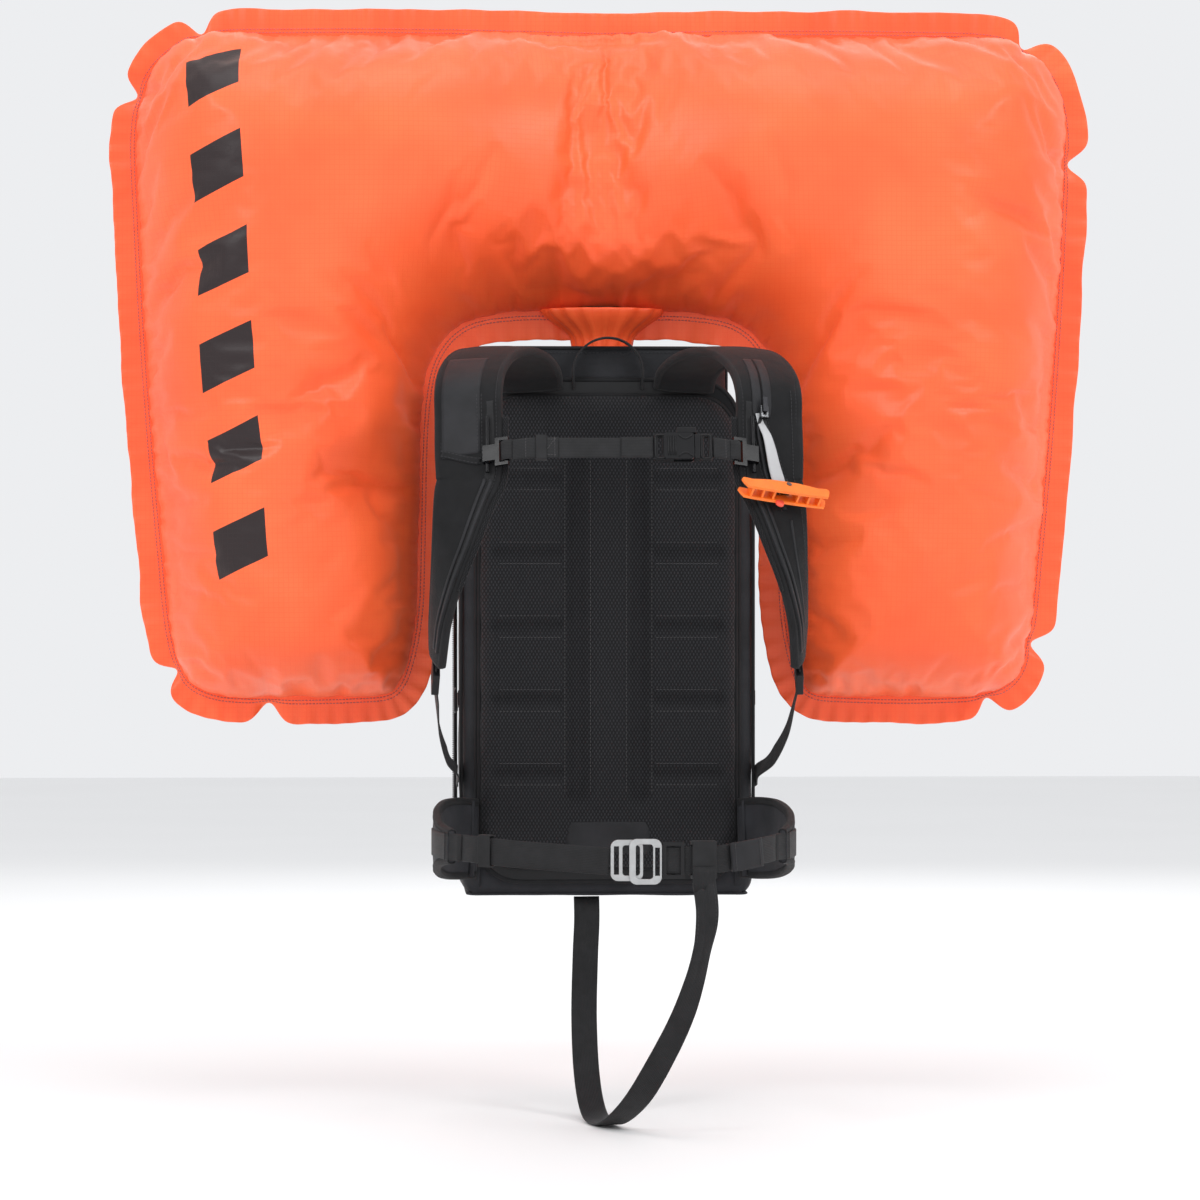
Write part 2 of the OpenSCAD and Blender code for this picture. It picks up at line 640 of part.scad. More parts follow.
module axe_loop() color(WEBBING)
    translate([70, pocket_front + pocket_t, -262]) difference() {
        translate([-10, 0, 0]) rotate([90, 0, 90]) linear_extrude(20) difference() {
            union() { circle(14); translate([-14, 0]) square([28, 22]); }
            union() { circle(11.5); translate([-11.5, -1]) square([23, 20.5]); }
        }
        translate([-20, -30, -30]) cube([40, 30, 80]);
    }

module flap_sliders() color(METAL)
    for (s = [-1, 1]) translate([s * (pack_half_w + 4.2), pack_depth - 1, shelf_z - 22]) {
        translate([-3.5, -3.5, -7]) cube([7, 7, 14]);
        translate([-1, 1.5, -32]) cube([2, 5, 25]);
    }

// ---------- release cable ----------

cable_r = 2;
cable_path = [[138, -206, 196], [135, -183, 213.5], [125, -145, 229.5], [108, -97, 236.5], [91, -48, 233],
    [80, -10, 224], [74, 4, 225], [cable_hole[0], 12, 230], [cable_hole[0], 20, cable_hole[1]],
    [74, 45, 228], [74, 72, 210], [68, 92, 198], [body_w / 2 + 1, 100, 196]];
module release_cable() color("#0c0c0d") cord(cable_path, cable_r, 4);

// ---------- nodes ----------

back_pad();
frame_sheet();
back_stays();
side_panel(-1);  // side_panel_left
side_panel(1);  // side_panel_right
bottom_panel();
shelf_panel();
airbag_compartment();
burst_flap(-1);  // burst_flap_left
burst_flap(1);  // burst_flap_right
haul_loop();
airbag();
port_collar();
inflator_body();
intake_grille();
gauge_case();
cartridge_strap();
release_cable();
shoulder_strap(-1);  // shoulder_strap_left
shoulder_strap(1);  // shoulder_strap_right
chest_rails();
lower_webbing(-1);  // lower_webbing_left
lower_webbing(1);  // lower_webbing_right
strap_adjusters();
hip_fin(-1);  // hip_fin_left
hip_fin(1);  // hip_fin_right
hip_webbing_left();
hip_webbing_right();
belt_keeper();
hip_ring();
leg_loop();
leg_strap();
trigger_zip();
rail_clip(-1);  // rail_clip_left
rail_clip(1);  // rail_clip_right
chest_webbing_left();
chest_webbing_right();
chest_keeper();
chest_buckle_body();
whistle();
chest_buckle_tongue();
prong(1);  // prong_upper
prong(-1);  // prong_lower
trigger_sleeve();
handle_pivot();
trigger_handle();
release_lever();
piercing_pin();
deflate_button();
gauge_needle();
cartridge();
pocket_slider();
pocket_puller();
hip_hook();
tri_glide();
main_flap();
gear_pocket();
axe_loop();
flap_sliders();
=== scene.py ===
"""Avalanche airbag backpack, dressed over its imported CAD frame. Lengths are in millimetres until they reach a mesh."""
import json
import math
import random

import bmesh
import bpy
import numpy as np
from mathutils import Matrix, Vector, geometry, noise

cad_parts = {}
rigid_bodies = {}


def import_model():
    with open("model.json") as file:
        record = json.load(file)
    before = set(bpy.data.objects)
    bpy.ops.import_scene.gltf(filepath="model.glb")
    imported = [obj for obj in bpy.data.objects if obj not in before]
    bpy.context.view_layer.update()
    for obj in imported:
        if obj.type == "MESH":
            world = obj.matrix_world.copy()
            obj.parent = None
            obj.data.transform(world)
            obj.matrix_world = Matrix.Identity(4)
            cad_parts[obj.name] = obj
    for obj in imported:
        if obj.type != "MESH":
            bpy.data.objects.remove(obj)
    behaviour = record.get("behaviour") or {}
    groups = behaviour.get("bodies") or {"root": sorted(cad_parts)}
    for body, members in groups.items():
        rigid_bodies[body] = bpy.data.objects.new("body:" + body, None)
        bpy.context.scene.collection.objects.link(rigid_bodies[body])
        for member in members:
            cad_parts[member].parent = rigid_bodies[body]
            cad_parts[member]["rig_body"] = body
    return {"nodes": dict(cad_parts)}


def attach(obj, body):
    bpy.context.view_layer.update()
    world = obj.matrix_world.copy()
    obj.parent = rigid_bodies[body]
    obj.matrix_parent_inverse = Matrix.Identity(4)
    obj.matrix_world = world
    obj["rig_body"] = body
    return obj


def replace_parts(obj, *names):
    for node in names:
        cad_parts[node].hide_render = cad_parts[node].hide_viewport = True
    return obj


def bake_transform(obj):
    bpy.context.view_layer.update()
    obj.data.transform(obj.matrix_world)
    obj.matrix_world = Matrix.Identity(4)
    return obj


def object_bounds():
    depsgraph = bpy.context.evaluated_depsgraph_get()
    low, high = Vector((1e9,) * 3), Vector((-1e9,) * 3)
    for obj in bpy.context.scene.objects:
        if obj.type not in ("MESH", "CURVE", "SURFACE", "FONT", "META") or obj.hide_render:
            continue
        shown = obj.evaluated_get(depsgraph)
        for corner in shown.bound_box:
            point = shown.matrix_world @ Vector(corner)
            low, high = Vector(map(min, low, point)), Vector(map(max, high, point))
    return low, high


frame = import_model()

MM = 0.001
SIDE = {1: "right", -1: "left"}     # the wearer's
CAD_BOX = [list(v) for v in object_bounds()]
scene = bpy.context.scene
scene.view_settings.view_transform = "Standard"

# ---------- camera and light -----------------


def aim(obj, place, target):
    obj.location = place
    obj.rotation_euler = (Vector(target) - Vector(place)).to_track_quat("-Z", "Y").to_euler()
    scene.collection.objects.link(obj)


lens = bpy.data.cameras.new("camera")
lens.sensor_width = 36
lens.lens = 146.7
lens.clip_end = 60
camera = bpy.data.objects.new("camera", lens)
aim(camera, (-0.216, -4.766, 0.0), (-0.020, -0.27, 0.0))
scene.camera = camera


def lamp(name, place, target, size, power, colour=(1, 1, 1)):
    light = bpy.data.lights.new(name, "AREA")
    light.shape = "DISK"
    light.size, light.energy, light.color = size, power, colour
    aim(bpy.data.objects.new(name, light), place, target)


lamp("key_left", (-2.6, -2.9, 2.3), (0, 0.0, 0.15), 1.5, 50)
lamp("key_right", (2.7, -2.7, 2.2), (0, 0.0, 0.15), 1.5, 45)
lamp("top", (0.0, -0.6, 3.4), (0, 0.1, 0.2), 2.2, 26)
lamp("low_fill", (0.2, -3.8, -0.1), (0, 0.0, -0.1), 2.4, 8)
lamp("back_fill", (0.4, 3.4, 1.8), (0, 0.1, 0.1), 2.4, 30)
world = bpy.data.worlds.new("studio")
world.use_nodes = True
world.node_tree.nodes["Background"].inputs["Color"].default_value = (0.94, 0.95, 0.97, 1)
world.node_tree.nodes["Background"].inputs["Strength"].default_value = 0.9
scene.world = world

# ---------- materials ----------


class Finish:
    """A node material under construction. Its methods return sockets, and the constants go on the shader itself."""

    made = {}

    def __init__(self, name, colour, rough, **values):
        self.material = bpy.data.materials.new(name)
        self.material.use_nodes = True
        self.nodes, self.links = self.material.node_tree.nodes, self.material.node_tree.links
        self.shader = self.nodes["Principled BSDF"]
        self.colour = colour
        self.shader.inputs["Base Color"].default_value = (*colour, 1)
        self.shader.inputs["Roughness"].default_value = rough
        for key, value in values.items():
            socket = self.shader.inputs[key.replace("_", " ")]
            socket.default_value = (*value, 1) if isinstance(value, tuple) and socket.type == "RGBA" else value
        self.height = None
        Finish.made[name] = self.material
        self.where = self.nodes.new("ShaderNodeTexCoord")

    def add(self, kind, inputs=(), out=0, **settings):
        node = self.nodes.new(kind)
        for key, value in settings.items():
            setattr(node, key, value)
        for key, value in dict(inputs).items():
            if isinstance(value, bpy.types.NodeSocket):
                self.links.new(value, node.inputs[key])
            else:
                node.inputs[key].default_value = value
        return node.outputs[out]

    def math(self, operation, a, b=0.0):
        return self.add("ShaderNodeMath", {0: a, 1: b}, operation=operation)

    def place(self, uv=False):
        return self.where.outputs["UV" if uv else "Object"]

    def noise(self, size, detail=3.0, uv=False, rough=0.55):
        """Cloudy 0 to 1 noise whose blobs are about size millimetres."""
        return self.add("ShaderNodeTexNoise", {"Vector": self.place(uv), "Scale": 1 / (size * MM),
            "Detail": detail, "Roughness": rough})

    def axes(self, uv=True):
        split = self.nodes.new("ShaderNodeSeparateXYZ")
        self.links.new(self.place(uv), split.inputs[0])
        return split.outputs

    def wave(self, along, period, shift=0.0):
        """sin of a coordinate, once round in period millimetres."""
        return self.math("SINE", self.math("ADD", self.math("MULTIPLY", along,
            2 * math.pi / (period * MM)), shift))

    def ridge(self, along, period):
        """0 to 1 rounded ridges, one each period."""
        return self.math("ABSOLUTE", self.math("SINE", self.math("MULTIPLY", along, math.pi / (period * MM))))

    def lines(self, along, pitch, width):
        """1 on thin lines every pitch millimetres, 0 between them."""
        part = self.math("FRACT", self.math("MULTIPLY", along, 1 / (pitch * MM)))
        return self.math("LESS_THAN", self.math("ABSOLUTE", self.math("SUBTRACT", part, 0.5)), width / pitch / 2)

    def level(self, fac, low, high, a=0.0, b=1.0):
        return self.add("ShaderNodeMapRange", {"Value": fac, "From Min": low, "From Max": high, "To Min": a,
            "To Max": b})

    def tint(self, fac, dark, light):
        """Base colour between two shades of the material's own, by fac."""
        ramp = self.nodes.new("ShaderNodeValToRGB")
        self.links.new(fac, ramp.inputs[0])
        for stop, shade in zip(ramp.color_ramp.elements, (dark, light)):
            stop.color = (*[min(1, c * shade) for c in self.colour], 1) if isinstance(shade, float) else (*shade, 1)
        ramp.color_ramp.elements[0].position, ramp.color_ramp.elements[1].position = 0.3, 0.7
        self.links.new(ramp.outputs[0], self.shader.inputs["Base Color"])
        return ramp.outputs[0]

    def mix(self, fac, a, b):
        node = self.nodes.new("ShaderNodeMix")
        node.data_type = "RGBA"
        for index, value in ((0, fac), (6, a), (7, b)):
            if isinstance(value, bpy.types.NodeSocket):
                self.links.new(value, node.inputs[index])
            else:
                node.inputs[index].default_value = (*value, 1) if isinstance(value, tuple) else value
        return node.outputs[2]

    def paint(self, colour):
        self.links.new(colour, self.shader.inputs["Base Color"])

    def rough(self, fac, low, high):
        self.links.new(self.level(fac, 0, 1, low, high), self.shader.inputs["Roughness"])

    def bump(self, height, depth, strength=1.0):
        inputs = {"Height": height, "Distance": depth * MM, "Strength": strength}
        if self.height is not None:
            inputs["Normal"] = self.height
        self.height = self.add("ShaderNodeBump", inputs)
        self.links.new(self.height, self.shader.inputs["Normal"])


def woven(name, colour, rough, thread, grid=0.0, relief=0.12, shade=(0.75, 1.3), **values):
    """Plain-woven cloth on a UV in metres, with an optional ripstop grid."""
    f = Finish(name, colour, rough, **values)
    u, v = f.axes()[0], f.axes()[1]
    f.tint(f.noise(28, 4), *shade)
    cloth = f.math("MULTIPLY", f.wave(u, thread), f.wave(v, thread))
    f.bump(cloth, relief * thread, 0.6)
    if grid:
        net = f.math("MAXIMUM", f.lines(u, grid, 0.5), f.lines(v, grid, 0.5))
        f.bump(net, 0.12, 0.5)
    f.rough(f.noise(9, 2), rough - 0.08, rough + 0.08)


def airbag_cloth():
    # painted glow: a faint red-orange emission lifts the cloth's shaded parts, standing in for light through the thin
    # nylon
    f = Finish("airbag_cloth", (0.98, 0.115, 0.028), 0.42, Sheen_Weight=0.25, Sheen_Roughness=0.4,
        Sheen_Tint=(1.0, 0.5, 0.35), Specular_IOR_Level=0.42, Coat_Weight=0.06, Coat_Roughness=0.35,
        Emission_Color=(1.0, 0.07, 0.015), Emission_Strength=0.05)
    u, v = f.axes()[0], f.axes()[1]
    net = f.math("MAXIMUM", f.lines(u, 4.6, 0.55), f.lines(v, 4.6, 0.55))
    cloud = f.noise(130, 3)
    base = f.mix(f.level(cloud, 0.3, 0.7), (0.95, 0.108, 0.026), (1.0, 0.15, 0.042))
    base = f.mix(f.math("MULTIPLY", net, 0.35), base, (0.88, 0.085, 0.02))
    # a row of plain slanted bars down one side of the front
    lean = f.math("ADD", u, f.math("MULTIPLY", f.math("SUBTRACT", v, 0.3), 0.055))
    across = f.math("LESS_THAN", f.math("ABSOLUTE", f.math("ADD", lean, 0.368)), 0.025)
    rise = f.math("SUBTRACT", f.math("SUBTRACT", v, f.math("MULTIPLY", lean, 0.45)), 0.2)
    within = f.math("LESS_THAN", f.math("ABSOLUTE", f.math("SUBTRACT", rise, 0.2475)), 0.2475)
    beat = f.math("FRACT", f.math("MULTIPLY", rise, 1 / 0.09))
    bars = f.math("MULTIPLY", f.math("MULTIPLY", across, within), f.math("LESS_THAN", beat, 0.5))
    bars = f.math("MULTIPLY", bars, f.math("LESS_THAN", f.axes(False)[1], 0.15))
    base = f.mix(bars, base, (0.012, 0.004, 0.005))
    # the painted glow is left off the dark printed bars
    f.links.new(f.level(bars, 0, 1, 0.05, 0.0), f.shader.inputs["Emission Strength"])
    f.paint(base)
    f.bump(f.noise(38, 5, rough=0.6), 1.5, 0.35)
    f.bump(f.noise(7, 3), 0.16, 0.5)
    f.bump(net, 0.1, 0.5)
    f.rough(f.noise(20, 3), 0.36, 0.5)


airbag_cloth()

# ---------- meshes ----------

SLOT_OF = {"airbag_cloth": "airbag_fabric", "sleeve_cloth": "sleeve_fabric", "webbing": "webbing"}
SLOT_OF.update(dict.fromkeys(("strap_cloth", "smooth_cloth", "pack_cloth", "pack_panel", "binding_tape", "edge_mesh"),
    "pack_fabric"))


def mesh_piece(name, verts, faces, material, body=None, uv=None, slot=None):
    """A mesh piece from points in millimetres. uv gives one (u, v) in metres for each vertex."""
    points = np.asarray(verts, float) * MM
    mesh = bpy.data.meshes.new(name)
    mesh.from_pydata(points.tolist(), [], [tuple(int(i) for i in f) for f in faces])
    mesh.materials.append(Finish.made[material])
    if uv is not None:
        layer = mesh.uv_layers.new(name="UVMap")
        uv = np.asarray(uv, float)
        index = np.zeros(len(mesh.loops), int)
        mesh.loops.foreach_get("vertex_index", index)
        layer.data.foreach_set("uv", uv[index].ravel())
    mesh.polygons.foreach_set("use_smooth", [True] * len(mesh.polygons))
    mesh.update()
    obj = bpy.data.objects.new(name, mesh)
    scene.collection.objects.link(obj)
    if body:
        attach(obj, body)
    slot = slot or SLOT_OF.get(material)
    return obj


def closed_piece(name, verts, faces, material, body=None, uv=None, slot=None, node=None, finer=False):
    """A closed mesh piece with its faces turned outward, which may stand for a CAD node."""
    obj = mesh_piece(name, verts, faces, material, None, uv, slot)
    b = bmesh.new()
    b.from_mesh(obj.data)
    bmesh.ops.recalc_face_normals(b, faces=b.faces)
    b.to_mesh(obj.data)
    b.free()
    if finer:
        obj.modifiers.new("finer", "SUBSURF").render_levels = 1
    if body:
        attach(obj, body)
    if node:
        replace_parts(obj, node)
    return obj


def catmull(points, steps):
    """Smooth open line through rows of numbers, with steps points to each stretch."""
    p = np.asarray(points, float)
    last = len(p) - 1
    out = []
    for i in range(last):
        a, b, c, d = p[max(i - 1, 0)], p[i], p[i + 1], p[min(i + 2, last)]
        for k in range(steps):
            t = k / steps
            out.append(0.5 * (2 * b + (c - a) * t + (2 * a - 5 * b + 4 * c - d) * t ** 2
                + (3 * b - a - 3 * c + d) * t ** 3))
    out.append(p[last])
    return np.array(out)


def even(points, pitch, closed=False):
    """The same line with points spaced about pitch apart."""
    p = np.asarray(points, float)
    if closed:
        p = np.vstack([p, p[:1]])
    step = np.linalg.norm(np.diff(p, axis=0), axis=1)
    reach = np.concatenate([[0], np.cumsum(step)])
    count = max(2, int(round(reach[-1] / pitch)))
    want = np.linspace(0, reach[-1], count + 1)
    if closed:
        want = want[:-1]
    return np.stack([np.interp(want, reach, p[:, k]) for k in range(p.shape[1])], axis=1)


def unit(v):
    v = np.asarray(v, float)
    return v / np.maximum(np.linalg.norm(v, axis=-1, keepdims=True), 1e-9)


def tangents(p, closed=False):
    if closed:
        return unit(np.roll(p, -1, 0) - np.roll(p, 1, 0))
    return unit(np.gradient(p, axis=0))


THREAD_RINGS = [(-0.5, 0.25), (-0.36, 0.9), (0.0, 1.0), (0.36, 0.9), (0.5, 0.25)]


def stitch_mesh(rows, length, pitch, radius, sink=0.25):
    """Thread beads along lines of (points, normals); returns verts and faces in millimetres."""
    verts, faces = [], []
    ring = [(math.cos(a), math.sin(a)) for a in np.linspace(0, 2 * math.pi, 6, endpoint=False)]
    for points, normals in rows:
        both = even(np.hstack([np.asarray(points, float), np.asarray(normals, float)]), pitch)
        spots, up = both[:, :3], unit(both[:, 3:])
        run = tangents(spots)
        side = unit(np.cross(up, run))
        for s, u, t, w in zip(spots, up, run, side):
            base = len(verts)
            for along, wide in THREAD_RINGS:
                for c, d in ring:
                    verts.append(s + t * along * length + (w * c + u * (d * 0.8 - sink)) * radius * wide)
            for r in range(len(THREAD_RINGS) - 1):
                for k in range(6):
                    a, b = base + r * 6 + k, base + r * 6 + (k + 1) % 6
                    faces.append((a, b, b + 6, a + 6))
            faces.append(tuple(base + 5 - k for k in range(6)))
            faces.append(tuple(base + 24 + k for k in range(6)))
    return verts, faces


def inflate(obj, pressure, cap, frames, shrink, stiffness, bending):
    """Cloth simulation with its result kept, each point moving at most cap millimetres."""
    start = np.array([v.co for v in obj.data.vertices])
    modifier = obj.modifiers.new("cloth", "CLOTH")
    s = modifier.settings
    s.quality, s.mass, s.air_damping = 4, 0.25, 2.0
    s.tension_stiffness = s.compression_stiffness = stiffness
    s.shear_stiffness, s.bending_stiffness = stiffness * 0.3, bending
    s.use_pressure, s.uniform_pressure_force = True, pressure
    s.effector_weights.gravity = 0
    s.shrink_min = shrink
    modifier.collision_settings.use_collision = False
    s.vertex_group_mass = "pin"
    modifier.point_cache.frame_end = frames
    for k in range(1, frames + 1):
        scene.frame_set(k)
    seen = obj.evaluated_get(bpy.context.evaluated_depsgraph_get())
    end = np.array([v.co for v in seen.data.vertices])
    obj.modifiers.remove(modifier)
    scene.frame_set(1)
    move = end - start
    far = np.linalg.norm(move, axis=1, keepdims=True)
    limit = cap * MM
    end = start + move * (limit * np.tanh(far / limit) / np.maximum(far, 1e-9))
    obj.data.vertices.foreach_set("co", end.ravel())
    obj.data.update()


# ---------- airbag ----------

BAG_Y, BAG_HALF_T, BAG_EDGE, BAG_PITCH = 150.0, 165.0, 25.0, 5.5
BAG_SIDE = [(0, 590), (150, 593), (300, 593), (400, 589), (446, 568), (478, 530), (492, 470), (489, 370), (483, 260),
    (475, 150), (466, 50), (456, -40), (438, -92), (398, -118), (330, -124), (250, -123), (206, -118), (182, -98),
    (168, -60), (160, -10), (158, 50), (157, 97), (156, 145), (153, 195), (145, 232), (125, 254), (88, 261),
    (45, 262), (0, 262)]
BAG_NOTCHES = [(-405, 570), (-459, 505), (427, 560), (474, 440), (-396, -58), (-334, -94), (389, -94), (446, -44)]


def bag_outline():
    half = catmull(BAG_SIDE, 10)
    left = half[::-1][1:-1] * [-1, 1]
    return even(np.vstack([half, left]), BAG_PITCH, closed=True)


def outward(line):
    run = tangents(line, True)
    side = np.stack([-run[:, 1], run[:, 0]], axis=1)
    area = np.sum(line[:, 0] * np.roll(line[:, 1], -1) - np.roll(line[:, 0], -1) * line[:, 1])
    return side if area < 0 else -side


def distance_to(points, line):
    a, b = line, np.roll(line, -1, 0)
    ab = b - a
    best = np.full(len(points), 1e9)
    for start in range(0, len(points), 2000):
        p = points[start:start + 2000, None, :]
        t = np.clip(((p - a) * ab).sum(2) / (ab ** 2).sum(1), 0, 1)
        best[start:start + 2000] = np.linalg.norm(p - (a + ab * t[..., None]), axis=2).min(1)
    return best


def inside(points, line):
    a, b = line, np.roll(line, -1, 0)
    odd = np.zeros(len(points), bool)
    for (ax, ay), (bx, by) in zip(a, b):
        if ay == by:
            continue
        crosses = (ay > points[:, 1]) != (by > points[:, 1])
        odd ^= crosses & (points[:, 0] < (bx - ax) * (points[:, 1] - ay) / (by - ay) + ax)
    return odd


def triangles(flat, edges, loops):
    """Triangles, wound one way, between points inside the first loop and outside the others."""
    found = geometry.delaunay_2d_cdt([Vector(p) for p in flat], edges, [], 0, 1e-6, False)
    flat, tris = np.array([list(v) for v in found[0]]), np.array(found[2])
    mid = flat[tris].mean(1)
    keep = inside(mid, loops[0])
    for loop in loops[1:]:
        keep &= ~inside(mid, loop)
    tris = tris[keep]
    a, b, c = flat[tris[:, 0]], flat[tris[:, 1]], flat[tris[:, 2]]
    area = (b[:, 0] - a[:, 0]) * (c[:, 1] - a[:, 1]) - (b[:, 1] - a[:, 1]) * (c[:, 0] - a[:, 0])
    tris[area < 0] = tris[area < 0][:, ::-1]
    return flat, tris


def notch_pull(edge, reach=12.0):
    """How strongly each edge point is drawn in towards the nearest of the corners' notches."""
    n = len(edge)
    pull = np.zeros(n)
    for x, z in BAG_NOTCHES:
        k = np.linalg.norm(edge - [x, z], axis=1).argmin()
        gap = np.abs((np.arange(n) - k + n // 2) % n - n // 2) * BAG_PITCH
        pull = np.maximum(pull, np.exp(-(gap / reach) ** 2))
    return pull


def bag_skirt(edge, out):
    """The flat sewn edge outside the airbag's seam, its two stitch lines and the gathers that cross it."""
    n = len(edge)
    arc = np.arange(n) * BAG_PITCH
    gather = 19 + 7 * np.array([noise.noise(Vector((a * 0.013, 3.1, 0))) for a in arc])
    phase = np.cumsum(2 * math.pi * BAG_PITCH / gather)
    wave = np.sin(phase)
    pull = notch_pull(edge)
    ripple = np.array([noise.noise(Vector((a * 0.022, 9.0, 0))) for a in arc])
    columns = np.array([-7.0, 1.5, 5.0, 10.0, 16.0, 21.5, 24.0, 25.2])
    rings = []
    for face in (-1, 1):
        for c in columns:
            t = max(0.0, c) / 25
            reach = c + (3.2 * ripple + 0.35 * wave) * t ** 2 - 22 * pull * t ** 1.3
            flat = edge - out * (BAG_EDGE - reach[:, None])
            half = 0.5 + 0.9 * math.exp(-((c - 3) / 3.5) ** 2) * 0.3 - 0.35 * (c > 25)
            y = BAG_Y + (1.9 * wave * t + 4.5 * ripple * t) + 7 * pull * t + face * half
            rings.append(np.stack([flat[:, 0], y, flat[:, 1]], 1))
    m = len(columns)
    verts = np.concatenate(rings[:m] + rings[m:][::-1])
    faces = []
    for k in range(2 * m):
        for i in range(n):
            a, b = k * n + i, k * n + (i + 1) % n
            c = ((k + 1) % (2 * m)) * n
            faces.append((a, b, c + (i + 1) % n, c + i))
    closed_piece("airbag_skirt", verts, faces, "airbag_cloth", "pack", verts[:, [0, 2]] * MM, node="airbag",
        finer=True)
    rows = []
    for face, base in ((-1, 0), (1, m)):
        for k in (1, 2):
            ring = rings[base + k] + [0, face * 0.15, 0]
            loop = np.vstack([ring, ring[:1]])
            rows.append((loop, np.tile([0, face * 1.0, 0], (len(loop), 1))))
    threads("airbag_seam_threads", rows, "pack", "seam_thread", 2.6, 3.4, 0.62, slot="airbag_fabric")
    return phase


def pucker(bag, flat, depth, seam, phase, rim):
    """Short gathers across the seam, which fade out into the panels."""
    mesh = bag.data
    n = len(mesh.vertices)
    co, no = np.zeros(n * 3), np.zeros(n * 3)
    mesh.vertices.foreach_get("co", co)
    mesh.vertices.foreach_get("normal", no)
    co, no = co.reshape(-1, 3), no.reshape(-1, 3)
    near = np.zeros(len(flat), int)
    for start in range(0, len(flat), 1500):
        near[start:start + 1500] = np.linalg.norm(flat[start:start + 1500, None] - seam, axis=2).argmin(1)
    wave = np.sin(phase[near])
    strength = 0.35 + 0.65 * np.array([abs(noise.noise(Vector((i * 0.021, 1.7, 0)))) * 2 for i in near])
    amount = 2.7 * strength * wave * np.exp(-depth / 20) * np.clip(depth / 7, 0, 1)
    amount -= 9.0 * notch_pull(seam, 9.0)[near] * np.exp(-depth / 26) * np.clip(depth / 6, 0, 1)
    full = np.concatenate([amount, amount[~rim]])
    co += no * full[:, None] * MM
    mesh.vertices.foreach_set("co", co.ravel())
    mesh.update()


def airbag():
    edge = bag_outline()
    out = outward(edge)
    for _ in range(12):
        out = unit(out + 0.5 * (np.roll(out, 1, 0) + np.roll(out, -1, 0)))
    seam = even(edge - out * BAG_EDGE, BAG_PITCH, closed=True)
    rng = random.Random(5)
    pitch = 6.2
    xs, zs = np.arange(-500, 500, pitch), np.arange(-130, 600, pitch * 0.866)
    grid = np.array([(x + (k % 2) * pitch / 2 + rng.uniform(-0.5, 0.5), z + rng.uniform(-0.5, 0.5))
        for k, z in enumerate(zs) for x in xs])
    grid = grid[inside(grid, seam)]
    grid = grid[distance_to(grid, seam) > pitch * 0.7]
    n = len(seam)
    flat, tris = triangles(np.vstack([seam, grid]), [(i, (i + 1) % n) for i in range(n)], [seam])
    depth = distance_to(flat, seam)
    rim = depth < 0.5
    lens_shape = (1 - (1 - np.clip(depth / 138, 0, 1)) ** 2.3) ** 0.62
    valley = 1 - 0.28 * np.exp(-(flat[:, 0] / 150) ** 2)
    thick = 0.86 * BAG_HALF_T * lens_shape * valley
    count = len(flat)
    back_of = np.arange(count)
    back_of[~rim] = count + np.arange((~rim).sum())
    front = np.stack([flat[:, 0], BAG_Y - thick, flat[:, 1]], axis=1)
    back = np.stack([flat[:, 0], BAG_Y + thick, flat[:, 1]], axis=1)[~rim]
    verts = np.vstack([front, back])
    faces = [tuple(t) for t in tris] + [tuple(back_of[t][::-1]) for t in tris]
    uv = np.vstack([flat, flat[~rim]]) * MM
    bag = mesh_piece("airbag_panels", verts, faces, "airbag_cloth", uv=uv)
    group = bag.vertex_groups.new(name="pin")
    group.add([int(i) for i in np.nonzero(rim)[0]], 1.0, "REPLACE")
    inflate(bag, pressure=5.0, cap=26, frames=24, shrink=-0.07, stiffness=12, bending=0.15)
    bag.vertex_groups.clear()
    phase = bag_skirt(edge, out)
    pucker(bag, flat, depth, edge - out * BAG_EDGE, phase, rim)
    bag.modifiers.new("finer", "SUBSURF").render_levels = 1
    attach(bag, "pack")
    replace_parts(bag, "airbag")


# ---------- more finishes ----------


def webbing(name, colour, rib=1.5, cross=1.9, rough=0.62):
    """Nylon webbing: slanted picks in columns, from a UV in metres."""
    f = Finish(name, colour, rough, Sheen_Weight=0.05, Sheen_Roughness=0.5, Specular_IOR_Level=0.28)
    u, v = f.axes()[0], f.axes()[1]
    column = f.ridge(u, rib)
    pick = f.ridge(f.math("ADD", v, f.math("MULTIPLY", f.math("PINGPONG", u, rib * MM), 0.8)), cross)
    f.tint(f.noise(16, 3), 0.75, 1.35)
    f.bump(f.math("MULTIPLY", column, f.level(pick, 0, 1, 0.55, 1)), 0.28, 0.9)
    f.bump(f.noise(1.3, 2), 0.1, 0.3)
    f.rough(f.noise(6, 2), rough - 0.07, rough + 0.1)


def plastic(name, colour, rough, grain=0.9, relief=0.05, **values):
    f = Finish(name, colour, rough, **values)
    f.tint(f.noise(14, 3), 0.88, 1.1)
    f.bump(f.noise(grain, 2), relief, 0.5)
    f.rough(f.noise(11, 4), rough - 0.07, rough + 0.09)


def metal(name, colour, rough, grain=0.35, relief=0.03, wear=0.8):
    f = Finish(name, colour, rough, Metallic=1.0)
    f.tint(f.noise(7, 4), wear, 1.0)
    f.bump(f.noise(grain, 2), relief, 0.6)
    f.rough(f.noise(5, 3), rough - 0.08, rough + 0.1)


